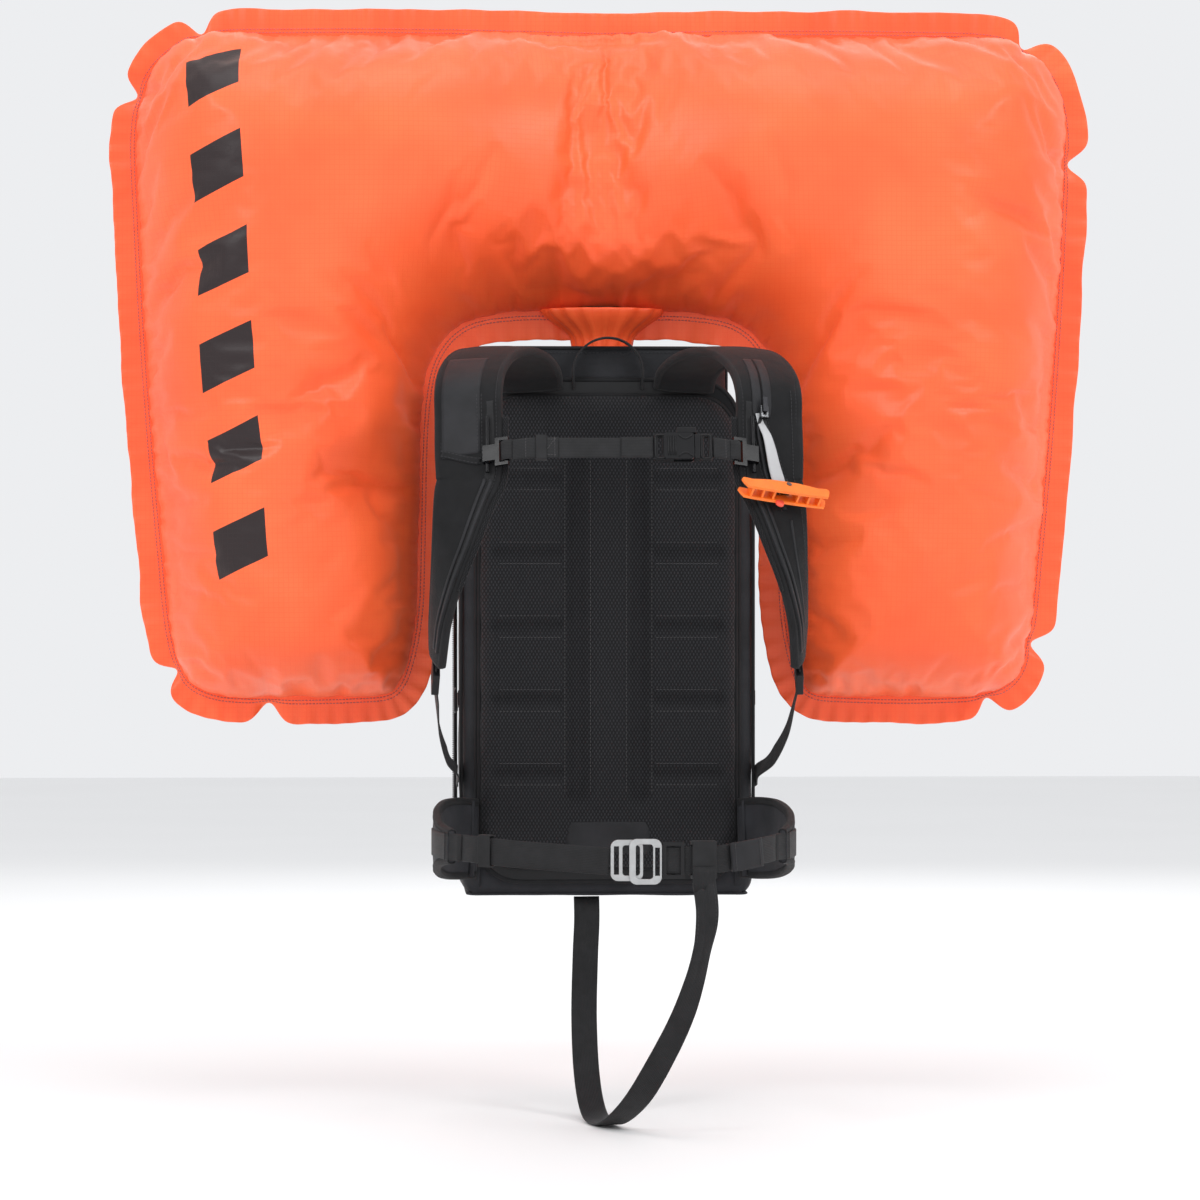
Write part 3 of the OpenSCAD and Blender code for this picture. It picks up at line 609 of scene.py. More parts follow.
def knit(name, colour, pitch, rough=0.8):
    """Spacer mesh with rows of small round holes, with painted shade in its low parts and painted light on its raised
    parts.
    """
    f = Finish(name, colour, rough, Sheen_Weight=0.06, Sheen_Roughness=0.5, Specular_IOR_Level=0.2)
    u, v = f.axes()[0], f.axes()[1]
    hole = f.math("MULTIPLY", f.ridge(f.math("ADD", u, f.math("MULTIPLY", v, 0.577)), pitch),
        f.ridge(f.math("SUBTRACT", u, f.math("MULTIPLY", v, 0.577)), pitch))
    relief_and_shade = f.level(hole, 0.35, 0.75)
    # painted shade and light: the low parts of the relief are painted dark and the raised parts painted lighter
    f.paint(f.mix(relief_and_shade, tuple(c * 0.35 for c in colour), tuple(c * 1.25 for c in colour)))
    f.bump(relief_and_shade, 0.5, 0.8)
    f.rough(f.noise(10, 2), rough - 0.05, rough + 0.1)


BLACK = (0.0048, 0.0048, 0.0056)
woven("strap_cloth", BLACK, 0.7, 0.9, Sheen_Weight=0.06, Sheen_Roughness=0.4, Specular_IOR_Level=0.22)
woven("smooth_cloth", (0.0135, 0.0135, 0.0155), 0.55, 0.7, relief=0.08, Sheen_Weight=0.05,
    Sheen_Roughness=0.4, Specular_IOR_Level=0.25)
woven("pack_cloth", (0.014, 0.0145, 0.017), 0.62, 1.1, grid=6.0, Sheen_Weight=0.06,
    Sheen_Roughness=0.4, Specular_IOR_Level=0.25)
woven("pack_panel", (0.02, 0.0205, 0.024), 0.66, 1.4, Sheen_Weight=0.06, Sheen_Roughness=0.4,
    Specular_IOR_Level=0.22)
woven("binding_tape", (0.009, 0.009, 0.010), 0.72, 1.2, relief=0.2, Sheen_Weight=0.05, Sheen_Roughness=0.5,
    Specular_IOR_Level=0.2)
webbing("webbing", (0.0085, 0.0085, 0.0095))
webbing("fine_webbing", (0.010, 0.010, 0.011), rib=1.1, cross=1.3)
webbing("elastic", (0.012, 0.012, 0.013), rib=0.9, cross=2.6, rough=0.75)
knit("spacer_mesh", (0.022, 0.022, 0.025), 3.4)
knit("edge_mesh", (0.014, 0.014, 0.016), 2.2)
plastic("black_plastic", (0.006, 0.006, 0.007), 0.36, Specular_IOR_Level=0.26)
plastic("satin_plastic", (0.005, 0.005, 0.006), 0.36, Specular_IOR_Level=0.28)
plastic("glossy_plastic", (0.004, 0.004, 0.005), 0.22, grain=3.0, relief=0.02, Specular_IOR_Level=0.24)
plastic("grey_plastic", (0.07, 0.073, 0.078), 0.35)
plastic("handle_plastic", (0.95, 0.185, 0.016), 0.4, grain=0.8, relief=0.05, Subsurface_Weight=0.12,
    Subsurface_Radius=(0.004, 0.0016, 0.0006), Subsurface_Scale=1.0)
plastic("red_plastic", (0.62, 0.03, 0.02), 0.38)
plastic("tab_plastic", (0.85, 0.09, 0.05), 0.45)
metal("blasted_alloy", (0.47, 0.475, 0.48), 0.42, grain=0.5, relief=0.05, wear=0.86)
metal("zip_metal", (0.13, 0.133, 0.138), 0.3)
metal("dark_metal", (0.035, 0.035, 0.038), 0.36)
metal("steel", (0.5, 0.5, 0.51), 0.3)
metal("brushed_alloy", (0.56, 0.57, 0.58), 0.36)
plastic("cartridge_paint", (0.045, 0.05, 0.06), 0.34, grain=1.6, relief=0.02, Coat_Weight=0.4, Coat_Roughness=0.2)
plastic("thread_black", (0.02, 0.02, 0.023), 0.7)
plastic("thread_grey", (0.05, 0.048, 0.05), 0.7)
plastic("seam_thread", (0.50, 0.13, 0.12), 0.7)
woven("sleeve_cloth", (0.46, 0.465, 0.475), 0.62, 0.8, relief=0.1, shade=(0.9, 1.03), Sheen_Weight=0.2,
    Sheen_Roughness=0.5)
plastic("dial_face", (0.78, 0.78, 0.76), 0.4)

# ---------- swept and moulded pieces ----------


class Strip:
    """A strap's centre line with its across and outward directions, from rows of x, y, z, width and across."""

    def __init__(self, rows, pitch=3.0, side=1):
        r = even(catmull(rows, 12), pitch)
        self.p, self.width, a = r[:, :3], r[:, 3], r[:, 4:7]
        f = tangents(self.p)
        self.w = unit(a - (a * f).sum(1, keepdims=True) * f)
        self.n = np.cross(f, self.w)
        self.side = side
        if side < 0:
            for v in (self.p, self.w, self.n):
                v[:, 0] *= -1
        step = np.linalg.norm(np.diff(self.p, axis=0), axis=1)
        self.reach = np.concatenate([[0], np.cumsum(step)])
        self.length = self.reach[-1]
        self.zero = 0.0

    def point(self, s, a, b):
        """Points at s along from the zero mark, a across and b outward, each a number or a row of them."""
        s = np.asarray(s, float) + self.zero
        pick = lambda v: np.stack([np.interp(s, self.reach, v[:, k]) for k in range(3)], axis=-1)
        a, b = np.asarray(a, float)[..., None], np.asarray(b, float)[..., None]
        return pick(self.p) + pick(unit(self.w)) * a + pick(unit(self.n)) * b

    def normal(self, s):
        s = np.asarray(s, float) + self.zero
        return unit(np.stack([np.interp(s, self.reach, self.n[:, k]) for k in range(3)], axis=-1))

    def half(self, s):
        return np.interp(np.asarray(s, float) + self.zero, self.reach, self.width) / 2


def tube_faces(rings, round_, caps=True):
    faces = []
    for i in range(rings - 1):
        for j in range(round_):
            a, b = i * round_ + j, i * round_ + (j + 1) % round_
            faces.append((a, b, b + round_, a + round_))
    if caps:
        faces.append(tuple(range(round_))[::-1])
        faces.append(tuple((rings - 1) * round_ + j for j in range(round_)))
    return faces


def swept(name, strip, section, material, body, start=None, stop=None, pitch=3.0, node=None, ripple=0.0, seed=0):
    """Closed section swept along a strip. section(s, half) gives rows of (a, b); UV is metres round and along."""
    low = -strip.zero if start is None else start
    high = strip.length - strip.zero if stop is None else stop
    s = np.linspace(low, high, max(3, int(abs(high - low) / pitch) + 1))
    verts, uv = [], []
    for k in s:
        loop = np.asarray(section(float(k), float(strip.half(k))), float)
        points = strip.point(np.full(len(loop), k), loop[:, 0], loop[:, 1])
        if ripple:
            up = strip.normal(k)
            for i, p in enumerate(points):
                q = Vector(p * 0.028) + Vector((seed, seed * 0.7, 0))
                points[i] = p + up * ripple * (noise.noise(q) + 0.5 * noise.noise(q * 2.7))
        verts.extend(points)
        uv.extend([(a * MM, k * MM) for a, _ in loop])
    count = len(loop)
    faces = tube_faces(len(s), count)
    if (strip.side > 0) == (high > low):
        faces = [f[::-1] for f in faces]
    return closed_piece(name, verts, faces, material, body, uv, node=node)


def flat_section(thick, crown=0.0, edge=0.5, lift=0.0, wide=None, offset=0.0):
    """Section of webbing: flat faces and rounded selvedges."""
    def section(s, half):
        h, t = (half if wide is None else wide / 2), thick / 2
        xs = np.linspace(-1, 1, 9)
        top = [(offset + x * (h - edge), lift + t + crown * (1 - x * x)) for x in xs]
        bottom = [(offset + x * (h - edge), lift - t) for x in xs[::-1]]
        right = [(offset + h - edge + edge * math.cos(a), lift + t * math.sin(a)) for a in (0.9, 0, -0.9)]
        left = [(offset - h + edge - edge * math.cos(a), lift + t * math.sin(a)) for a in (-0.9, 0, 0.9)]
        return top + right + bottom + left
    return section


def ring_path(name, points, radius, material, body, closed=False, sides=10, slot=None, flat=1.0):
    """A bent rod along points in millimetres."""
    p = np.asarray(points, float)
    f = tangents(p, closed)
    up = np.array([0.31, 0.23, 0.92])
    verts = []
    w = unit(np.cross(f[0], up))
    for k in range(len(p)):
        w = unit(w - (w * f[k]).sum() * f[k])
        u = np.cross(f[k], w)
        verts.extend([p[k] + radius * (w * math.cos(t) + u * flat * math.sin(t))
            for t in np.linspace(0, 2 * math.pi, sides, endpoint=False)])
    faces = tube_faces(len(p), sides, not closed)
    if closed:
        n = len(p)
        # match the last ring to the first
        last = np.array(verts[(n - 1) * sides:])
        shift = min(range(sides), key=lambda q: sum(np.linalg.norm(last[j] - verts[(j + q) % sides])
            for j in range(sides)))
        faces += [((n - 1) * sides + j, (n - 1) * sides + (j + 1) % sides, (j + 1 + shift) % sides,
            (j + shift) % sides) for j in range(sides)]
    return closed_piece(name, verts, faces, material, body, slot=slot)


def moulded(node, material, bevel=0.5, segments=2):
    """A CAD node's own shape with its edges rounded, standing for the node."""
    source = frame["nodes"][node]
    b = bmesh.new()
    b.from_mesh(source.data)
    bmesh.ops.remove_doubles(b, verts=b.verts, dist=1e-6)
    bmesh.ops.dissolve_limit(b, angle_limit=math.radians(1.0), verts=b.verts, edges=b.edges)
    sharp = [e for e in b.edges if len(e.link_faces) == 2 and e.calc_face_angle(0) > math.radians(28)]
    bmesh.ops.bevel(b, geom=sharp, offset=bevel * MM, segments=segments, profile=0.5, affect="EDGES",
        clamp_overlap=True)
    bmesh.ops.triangulate(b, faces=[f for f in b.faces if len(f.verts) > 4])
    mesh = bpy.data.meshes.new(node + "_moulded")
    b.to_mesh(mesh)
    b.free()
    mesh.materials.clear()
    mesh.materials.append(Finish.made[material])
    mesh.polygons.foreach_set("use_smooth", [True] * len(mesh.polygons))
    mesh.set_sharp_from_angle(angle=math.radians(42))
    obj = bpy.data.objects.new(mesh.name, mesh)
    scene.collection.objects.link(obj)
    obj.modifiers.new("facets", "WEIGHTED_NORMAL").keep_sharp = True
    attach(obj, source["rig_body"])
    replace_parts(obj, node)


def recolour(node, material):
    data = frame["nodes"][node].data
    data.materials.clear()
    data.materials.append(Finish.made[material])


def threads(name, rows, body, material="thread_black", length=2.7, pitch=3.8, radius=0.38, slot=None):
    verts, faces = stitch_mesh(rows, length, pitch, radius)
    return mesh_piece(name, verts, faces, material, body, slot=slot)


def seam_on(strip, s, a, b):
    """One line of points and normals on a strip for threads."""
    s = np.asarray(s, float)
    return strip.point(s, np.broadcast_to(a, s.shape), np.broadcast_to(b, s.shape)), strip.normal(s)


def seam_across(strip, s, half, b, count):
    return seam_on(strip, np.full(count, s), np.linspace(-half, half, count), b)


# ---------- shoulder straps ----------

CHEST = np.array([0.0, -234.8, 127.9])
TILT = math.atan(0.4)        # the chest's slope from upright
STRAP_X = 140.0


def turned(x, y, z, w, degrees):
    a = math.radians(degrees)
    return (x, y, z, w, math.cos(a), math.sin(a), 0)


def on_chest(s, w, degrees=20):
    return turned(STRAP_X, CHEST[1] + s * math.sin(TILT), CHEST[2] + s * math.cos(TILT), w, degrees)


STRAP_ROWS = [turned(74, 9, 206, 60, 0), turned(77, -8, 221, 62, 8), turned(90, -48, 233, 66, 16),
    turned(108, -97, 237, 68, 20), turned(125, -145, 230, 67, 20), turned(136, -183, 214, 66, 20),
    on_chest(71, 66), on_chest(43, 66), on_chest(13, 66), on_chest(-17, 64), turned(145, -246, 96, 60, 25),
    turned(153, -250, 60, 52, 38), turned(161, -242, 20, 44, 54), turned(167, -224, -20, 38, 68),
    turned(169, -200, -55, 34, 76)]


def strap_strip(side):
    strip = Strip(STRAP_ROWS, 3.0, side)
    mark = np.array([side * STRAP_X, CHEST[1], CHEST[2]])
    strip.zero = float(strip.reach[np.linalg.norm(strip.p - mark, axis=1).argmin()])
    return strip


def foam_section(crown, thick=6.0, edge=2.4):
    """Padded strap: crowned faces that pull in to a bound edge."""
    def section(s, half):
        xs = np.linspace(-1, 1, 25)
        inner = half - edge * 1.1
        face = lambda x, k: k * (thick * 0.56 + crown * (1 - abs(x) ** 2.8) ** 0.8)
        top = [(x * inner, face(x, 1)) for x in xs]
        bottom = [(x * inner, face(x, -0.94)) for x in xs[::-1]]
        right = [(inner + edge * 0.8 * math.cos(a), 2.9 * math.sin(a)) for a in (0.8, 0.3, -0.3, -0.8)]
        left = [(-inner - edge * 0.8 * math.cos(a), 2.9 * math.sin(a)) for a in (-0.8, -0.3, 0.3, 0.8)]
        return top + right + bottom + left
    return section


def shoulder_strap(side):
    strip = strap_strip(side)
    word = SIDE[side]
    top, low = -strip.zero + 0.5, strip.length - strip.zero - 0.5
    node = "shoulder_strap_" + word
    swept("strap_pad_" + word, strip, foam_section(2.5), "strap_cloth", "pack", top, low, node=node,
        ripple=0.45, seed=3 * side)

    def binding_section(wrap, sign):
        def section(s, h):
            arc = [(h - wrap, 3.9), (h - 2.2, 4.1), (h - 0.6, 3.0), (h, 0), (h - 0.6, -3.0), (h - 2.2, -4.1),
                (h - wrap, -3.9)]
            core = [(h - wrap, -3.1), (h - 2.6, -3.2), (h - 1.5, -2.2), (h - 1.1, 0), (h - 1.5, 2.2), (h - 2.6, 3.2),
                (h - wrap, 3.1)]
            return [(sign * a, b) for a, b in arc + core]
        return section

    fine = []
    for sign, wrap in ((1, 9.0), (-1, 6.5)):
        swept("strap_binding_%s_%s" % (word, "outer" if sign > 0 else "inner"), strip, binding_section(wrap, sign),
            "binding_tape", "pack", top, low, node=node)
        s = np.arange(top + 3, low - 3, 3.0)
        fine.append(seam_on(strip, s, sign * (strip.half(s) - wrap + 1.6), 4.15))
    return strip, word, fine


def ribbon_on(name, strip, path, width, thick, material, lift=0.0, node=None):
    """A thin strip of cloth laid on a strap along (s, a, b) points."""
    q = even(catmull(path, 10), 2.5)
    s, a, b = q[:, 0], q[:, 1], q[:, 2]
    spots = strip.point(s, a, b + lift)
    up = strip.normal(s)
    run = tangents(spots)
    side = unit(np.cross(up, run))
    verts, uv = [], []
    reach = np.concatenate([[0], np.cumsum(np.linalg.norm(np.diff(spots, axis=0), axis=1))])
    for k in range(len(spots)):
        h, t = width / 2, thick / 2
        for x, y in ((-h, -t), (-h, t * 0.5), (-h + 0.5, t), (0, t), (h - 0.5, t), (h, t * 0.5), (h, -t)):
            verts.append(spots[k] + side[k] * x + up[k] * y)
            uv.append((x * MM, reach[k] * MM))
    return closed_piece(name, verts, tube_faces(len(spots), 7), material, "pack", uv, "pack_fabric", node)


def path_row(strip, points, step=2.0):
    q = even(catmull(points, 8), step)
    return strip.point(q[:, 0], q[:, 1], q[:, 2]), strip.normal(q[:, 0])


def rail_channel(strip, tag, width):
    """The channel that holds a chest strap rail, and the two welts below the rail."""
    line = [(40, -20.4, 5.8), (75, -17.5, 5.8), (110, -13.5, 5.8), (150, -9.5, 5.5), (185, -7, 5.0)]
    ribbon_on("rail_channel" + tag, strip, [(-56, -20.2, 4.9), (-30, -20.7, 4.9), (12, -21, 4.9)]
        + [(s, a, b) for (s, a, _), b in zip(line, (4.9, 5.0, 5.0, 4.8, 4.6))], width, 0.8, "fine_webbing")
    for k, off in enumerate((-3.2, 3.2)):
        ribbon_on("rail_welt%s_%d" % (tag, k), strip, [(s, a + off, b) for s, a, b in [(20, -21, 5.8)] + line], 3.2,
            2.4, "smooth_cloth")


def straps():
    rows = []
    # the wearer's right strap, with the upper panel's hem and the rail's channel
    strip, word, fine = shoulder_strap(-1)
    rows += fine
    hem = [(-9, 24.5, 5.3), (-5, 14, 6.2), (0, 2, 6.4), (3, -7, 6.4), (4, -12.5, 6.3)]
    ribbon_on("strap_hem", strip, hem, 7.0, 1.2, "binding_tape")
    swept("strap_upper_panel", strip, panel_section(-13, 24.5), "smooth_cloth", "pack", -120, -4,
        node="shoulder_strap_left", ripple=0.3, seed=9)
    for shift in (-2.6, 2.6):
        rows.append(path_row(strip, [(s + shift * 0.9, a, b + 0.65) for s, a, b in hem]))
    rail_channel(strip, "", 11.0)
    rows.append(path_row(strip, [(-62, -14.4, 5.7), (-30, -14.6, 6.0), (-4, -14.8, 6.1)], 2.0))
    rows.append(path_row(strip, [(-62, -10.2, 6.2), (-40, -10.4, 6.4), (-8, -10.8, 6.5)], 2.0))
    mesh_border(strip, word)
    # the wearer's left strap, with the trigger's pocket
    strip, word, fine = shoulder_strap(1)
    rows += fine
    mesh_border(strip, word)
    rail_channel(strip, "_right", 10.0)
    ribbon_on("pocket_panel_crease", strip, [(60, 5, 6.0), (90, 2, 6.0), (120, 1, 5.8), (160, 1, 5.4)], 2.6, 1.6,
        "smooth_cloth")
    rows.append(path_row(strip, [(-70, 20, 6.1), (-20, 20.5, 6.1), (40, 20, 6.1), (90, 16, 6.0), (140, 11, 5.6)]))
    threads("strap_stitches", rows, "pack", slot="pack_fabric")
    return strip


def panel_section(low, high, b=5.75, thick=0.9):
    def section(s, half):
        xs = np.linspace(low, high, 13)
        top = [(x, b + 0.55 - 0.0011 * x * x) for x in xs]
        return top + [(x, y - thick) for x, y in top[::-1]]
    return section


def mesh_border(strip, word):
    """The perforated strip along the strap's inner edge, which ends in a small step."""
    def section(s, half):
        reach = max(5.5 - max(0.0, (s - 70) / 30), 2.0)
        return [(-half + 1.0, 1.3), (-half - reach, 1.0), (-half - reach, -0.4), (-half + 1.0, -0.5)]

    swept("mesh_border_" + word, strip, section, "edge_mesh", "pack", -40, 118)


# ---------- placing and bands ----------


def rounded_outline(w, h, r, cx=0.0, cz=0.0, pitch=4.0):
    corners = []
    for sx, sz, a0 in ((1, 1, 0), (-1, 1, 90), (-1, -1, 180), (1, -1, 270)):
        for a in np.radians(np.linspace(a0, a0 + 90, 9)):
            corners.append((cx + sx * (w / 2 - r) + r * math.cos(a), cz + sz * (h / 2 - r) + r * math.sin(a)))
    return even(corners, pitch, closed=True)


def turn(axis, degrees):
    c, s = math.cos(math.radians(degrees)), math.sin(math.radians(degrees))
    return np.array({"x": [[1, 0, 0], [0, c, -s], [0, s, c]], "y": [[c, 0, s], [0, 1, 0], [-s, 0, c]],
        "z": [[c, -s, 0], [s, c, 0], [0, 0, 1]]}[axis])


R_STRAP = turn("x", -math.degrees(TILT)) @ turn("z", 20)
O_STRAP = np.array([STRAP_X, CHEST[1], CHEST[2]])
R_TRIGGER = R_STRAP @ turn("y", -13)
O_TRIGGER = O_STRAP + R_STRAP @ np.array([-3.5, -8, 0])
R_HANDLE = R_TRIGGER @ turn("y", 13) @ turn("x", -32)
O_HANDLE = O_TRIGGER + R_TRIGGER @ np.array([0, -9.6, -38])


def placed(points, turn_by, origin):
    return np.asarray(points, float) @ turn_by.T + origin


def lathe(name, profile, material, body, turn_by=np.eye(3), origin=(0, 0, 0), sides=36, closed=False):
    """Round piece about local z from (radius, z) points."""
    verts = []
    for r, z in profile:
        verts.extend([(r * math.cos(t), r * math.sin(t), z) for t in np.linspace(0, 2 * math.pi, sides, False)])
    faces = tube_faces(len(profile), sides, not closed)
    if closed:
        n = len(profile)
        faces += [((n - 1) * sides + j, (n - 1) * sides + (j + 1) % sides, (j + 1) % sides, j) for j in range(sides)]
    obj = closed_piece(name, placed(verts, turn_by, origin), faces, material, body)
    obj.data.set_sharp_from_angle(angle=math.radians(40))


def tape(name, centre, width, thick, material, body, facing, node=None, round_edge=0.4):
    """A flat band along points; width and thick may be rows; facing is its outward direction at each point."""
    p = np.asarray(centre, float)
    n = len(p)
    width, thick = np.broadcast_to(width, n), np.broadcast_to(thick, n)
    up = np.broadcast_to(np.asarray(facing, float), (n, 3))
    run = tangents(p)
    side = unit(np.cross(up, run))
    up = np.cross(run, side)
    reach = np.concatenate([[0], np.cumsum(np.linalg.norm(np.diff(p, axis=0), axis=1))])
    verts, uv = [], []
    for k in range(n):
        h, t = width[k] / 2, thick[k] / 2
        e = min(round_edge, h * 0.5)
        for x, y in ((-h, -t * 0.3), (-h, t * 0.3), (-h + e, t), (-h / 2, t * 1.04), (0, t * 1.06), (h / 2, t * 1.04),
                (h - e, t), (h, t * 0.3), (h, -t * 0.3), (h - e, -t), (0, -t), (-h + e, -t)):
            verts.append(p[k] + side[k] * x + up[k] * y)
            uv.append((x * MM, reach[k] * MM))
    return closed_piece(name, verts, tube_faces(n, 12), material, body, uv, node=node)


# ---------- chest strap ----------


def chest_point(x, y, z):
    c, s = math.cos(TILT), math.sin(TILT)
    return CHEST + np.array([x, y * c + z * s, -y * s + z * c])


def chest_rows(points, width=20.0):
    """Strap rows from (x, depth) in the chest strap's frame."""
    return [(*chest_point(x, y, 0), width, 0, math.sin(TILT), math.cos(TILT)) for x, y in points]


def chest_strap():
    left = [(-103.6, -26.5), (-84, -32.3), (-60, -33.6), (-30, -34), (-4, -34), (29.8, -34)]
    strip = Strip(chest_rows(left), 2.0)
    end = strip.length
    for word, lift, start, stop in (("lower", -0.8, 0.0, end), ("upper", 0.85, 1.0, 46.0),
            ("buckle_fold", 0.85, end - 30, end - 0.4)):
        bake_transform(swept("chest_webbing_left_" + word, strip, flat_section(1.5, lift=lift), "webbing", None, start,
            stop, 2.0, node="chest_webbing_left"))
    rows = [seam_across(strip, s, 8.6, 1.75, 9) for s in (16.5, 43.0)]
    rows += [seam_on(strip, np.linspace(32, 43, 6), a, 1.75) for a in (-7.8, 7.8, np.linspace(-7.8, 7.8, 6))]
    right = [(84.5, -34), (94, -31), (103.6, -26.5)]
    short = Strip(chest_rows(right), 2.0)
    swept("chest_webbing_right_fold", short, flat_section(3.0, crown=0.25), "webbing", "chest_strap", pitch=2.0,
        node="chest_webbing_right")
    rows.append(seam_across(short, 12.0, 8.6, 1.8, 9))
    threads("chest_stitches", rows, "chest_strap", "thread_grey", 2.2, 2.9, 0.3, slot="webbing")
    # the webbing's loops round the rings' bars
    for side in (-1, 1):
        loop = catmull([(-46.5, -14.2, 0), (-43.6, -15.9, 0), (-40.6, -16.0, 0), (-37.6, -14.6, 0), (-36.9, -12.4, 0),
            (-37.8, -10.2, 0), (-40.6, -9.3, 0), (-44.5, -10.2, 0), (-47.0, -12.6, 0)], 5)
        run = tangents(loop)
        facing = np.stack([run[:, 1], -run[:, 0], run[:, 2] * 0], 1)
        points, ways = placed(loop, R_STRAP, O_STRAP), placed(facing, R_STRAP, 0)
        flip = np.array([side, 1, 1])
        tape("ring_loop_" + SIDE[side], points * flip, 19.4, 1.5, "webbing", "chest_strap", ways * flip)
    moulded("chest_keeper", "elastic", 0.5)
    for node, finish, bevel in (("chest_buckle_body", "black_plastic", 0.7), ("whistle", "black_plastic", 0.5),
            ("chest_buckle_tongue", "black_plastic", 0.6), ("prong_upper", "black_plastic", 0.5),
            ("prong_lower", "black_plastic", 0.5), ("rail_clip_left", "glossy_plastic", 0.6),
            ("rail_clip_right", "glossy_plastic", 0.6), ("chest_rails", "glossy_plastic", 0.3)):
        moulded(node, finish, bevel)
    # what shows of the buckle: a ladder ring, ribbed grips and the hollow sides of its body
    flat = turn("x", -math.degrees(TILT))

    def front(points, depth=-39.0):
        return placed([(x, depth, z) for x, z in points], flat, CHEST)

    for name, x0, x1, low in (("buckle_ladder", 31.2, 40.5, 11.6), ("buckle_tongue_ring", 73.2, 82.2, 11.6)):
        loop = even(rounded_outline(x1 - x0, 2 * low, 2.4, (x0 + x1) / 2, 0, 1.5), 1.5, closed=True)
        ring_path(name, front(loop, -36.7), 0.8, "satin_plastic", "chest_buckle" if x0 < 60 else "chest_strap", True,
            8, "black_plastic")
    for k in range(4):
        x = 43.0 + 2.3 * k
        ring_path("buckle_rib_%d" % k, front([(x, -9.5), (x, -4), (x, 4), (x, 9.5)], -39.2), 0.7, "black_plastic",
            "chest_buckle", False, 8, "black_plastic")
    for sign in (-1, 1):
        arc = [(52.6 + 12.5 * t, sign * (10.6 - 3.6 * math.sin(math.pi * t))) for t in np.linspace(0, 1, 14)]
        ring_path("buckle_arc_" + ("top" if sign > 0 else "low"), front(arc, -39.1), 0.75, "satin_plastic",
            "chest_buckle", False, 8, "black_plastic")


strap = straps()
chest_strap()

# ---------- trigger ----------


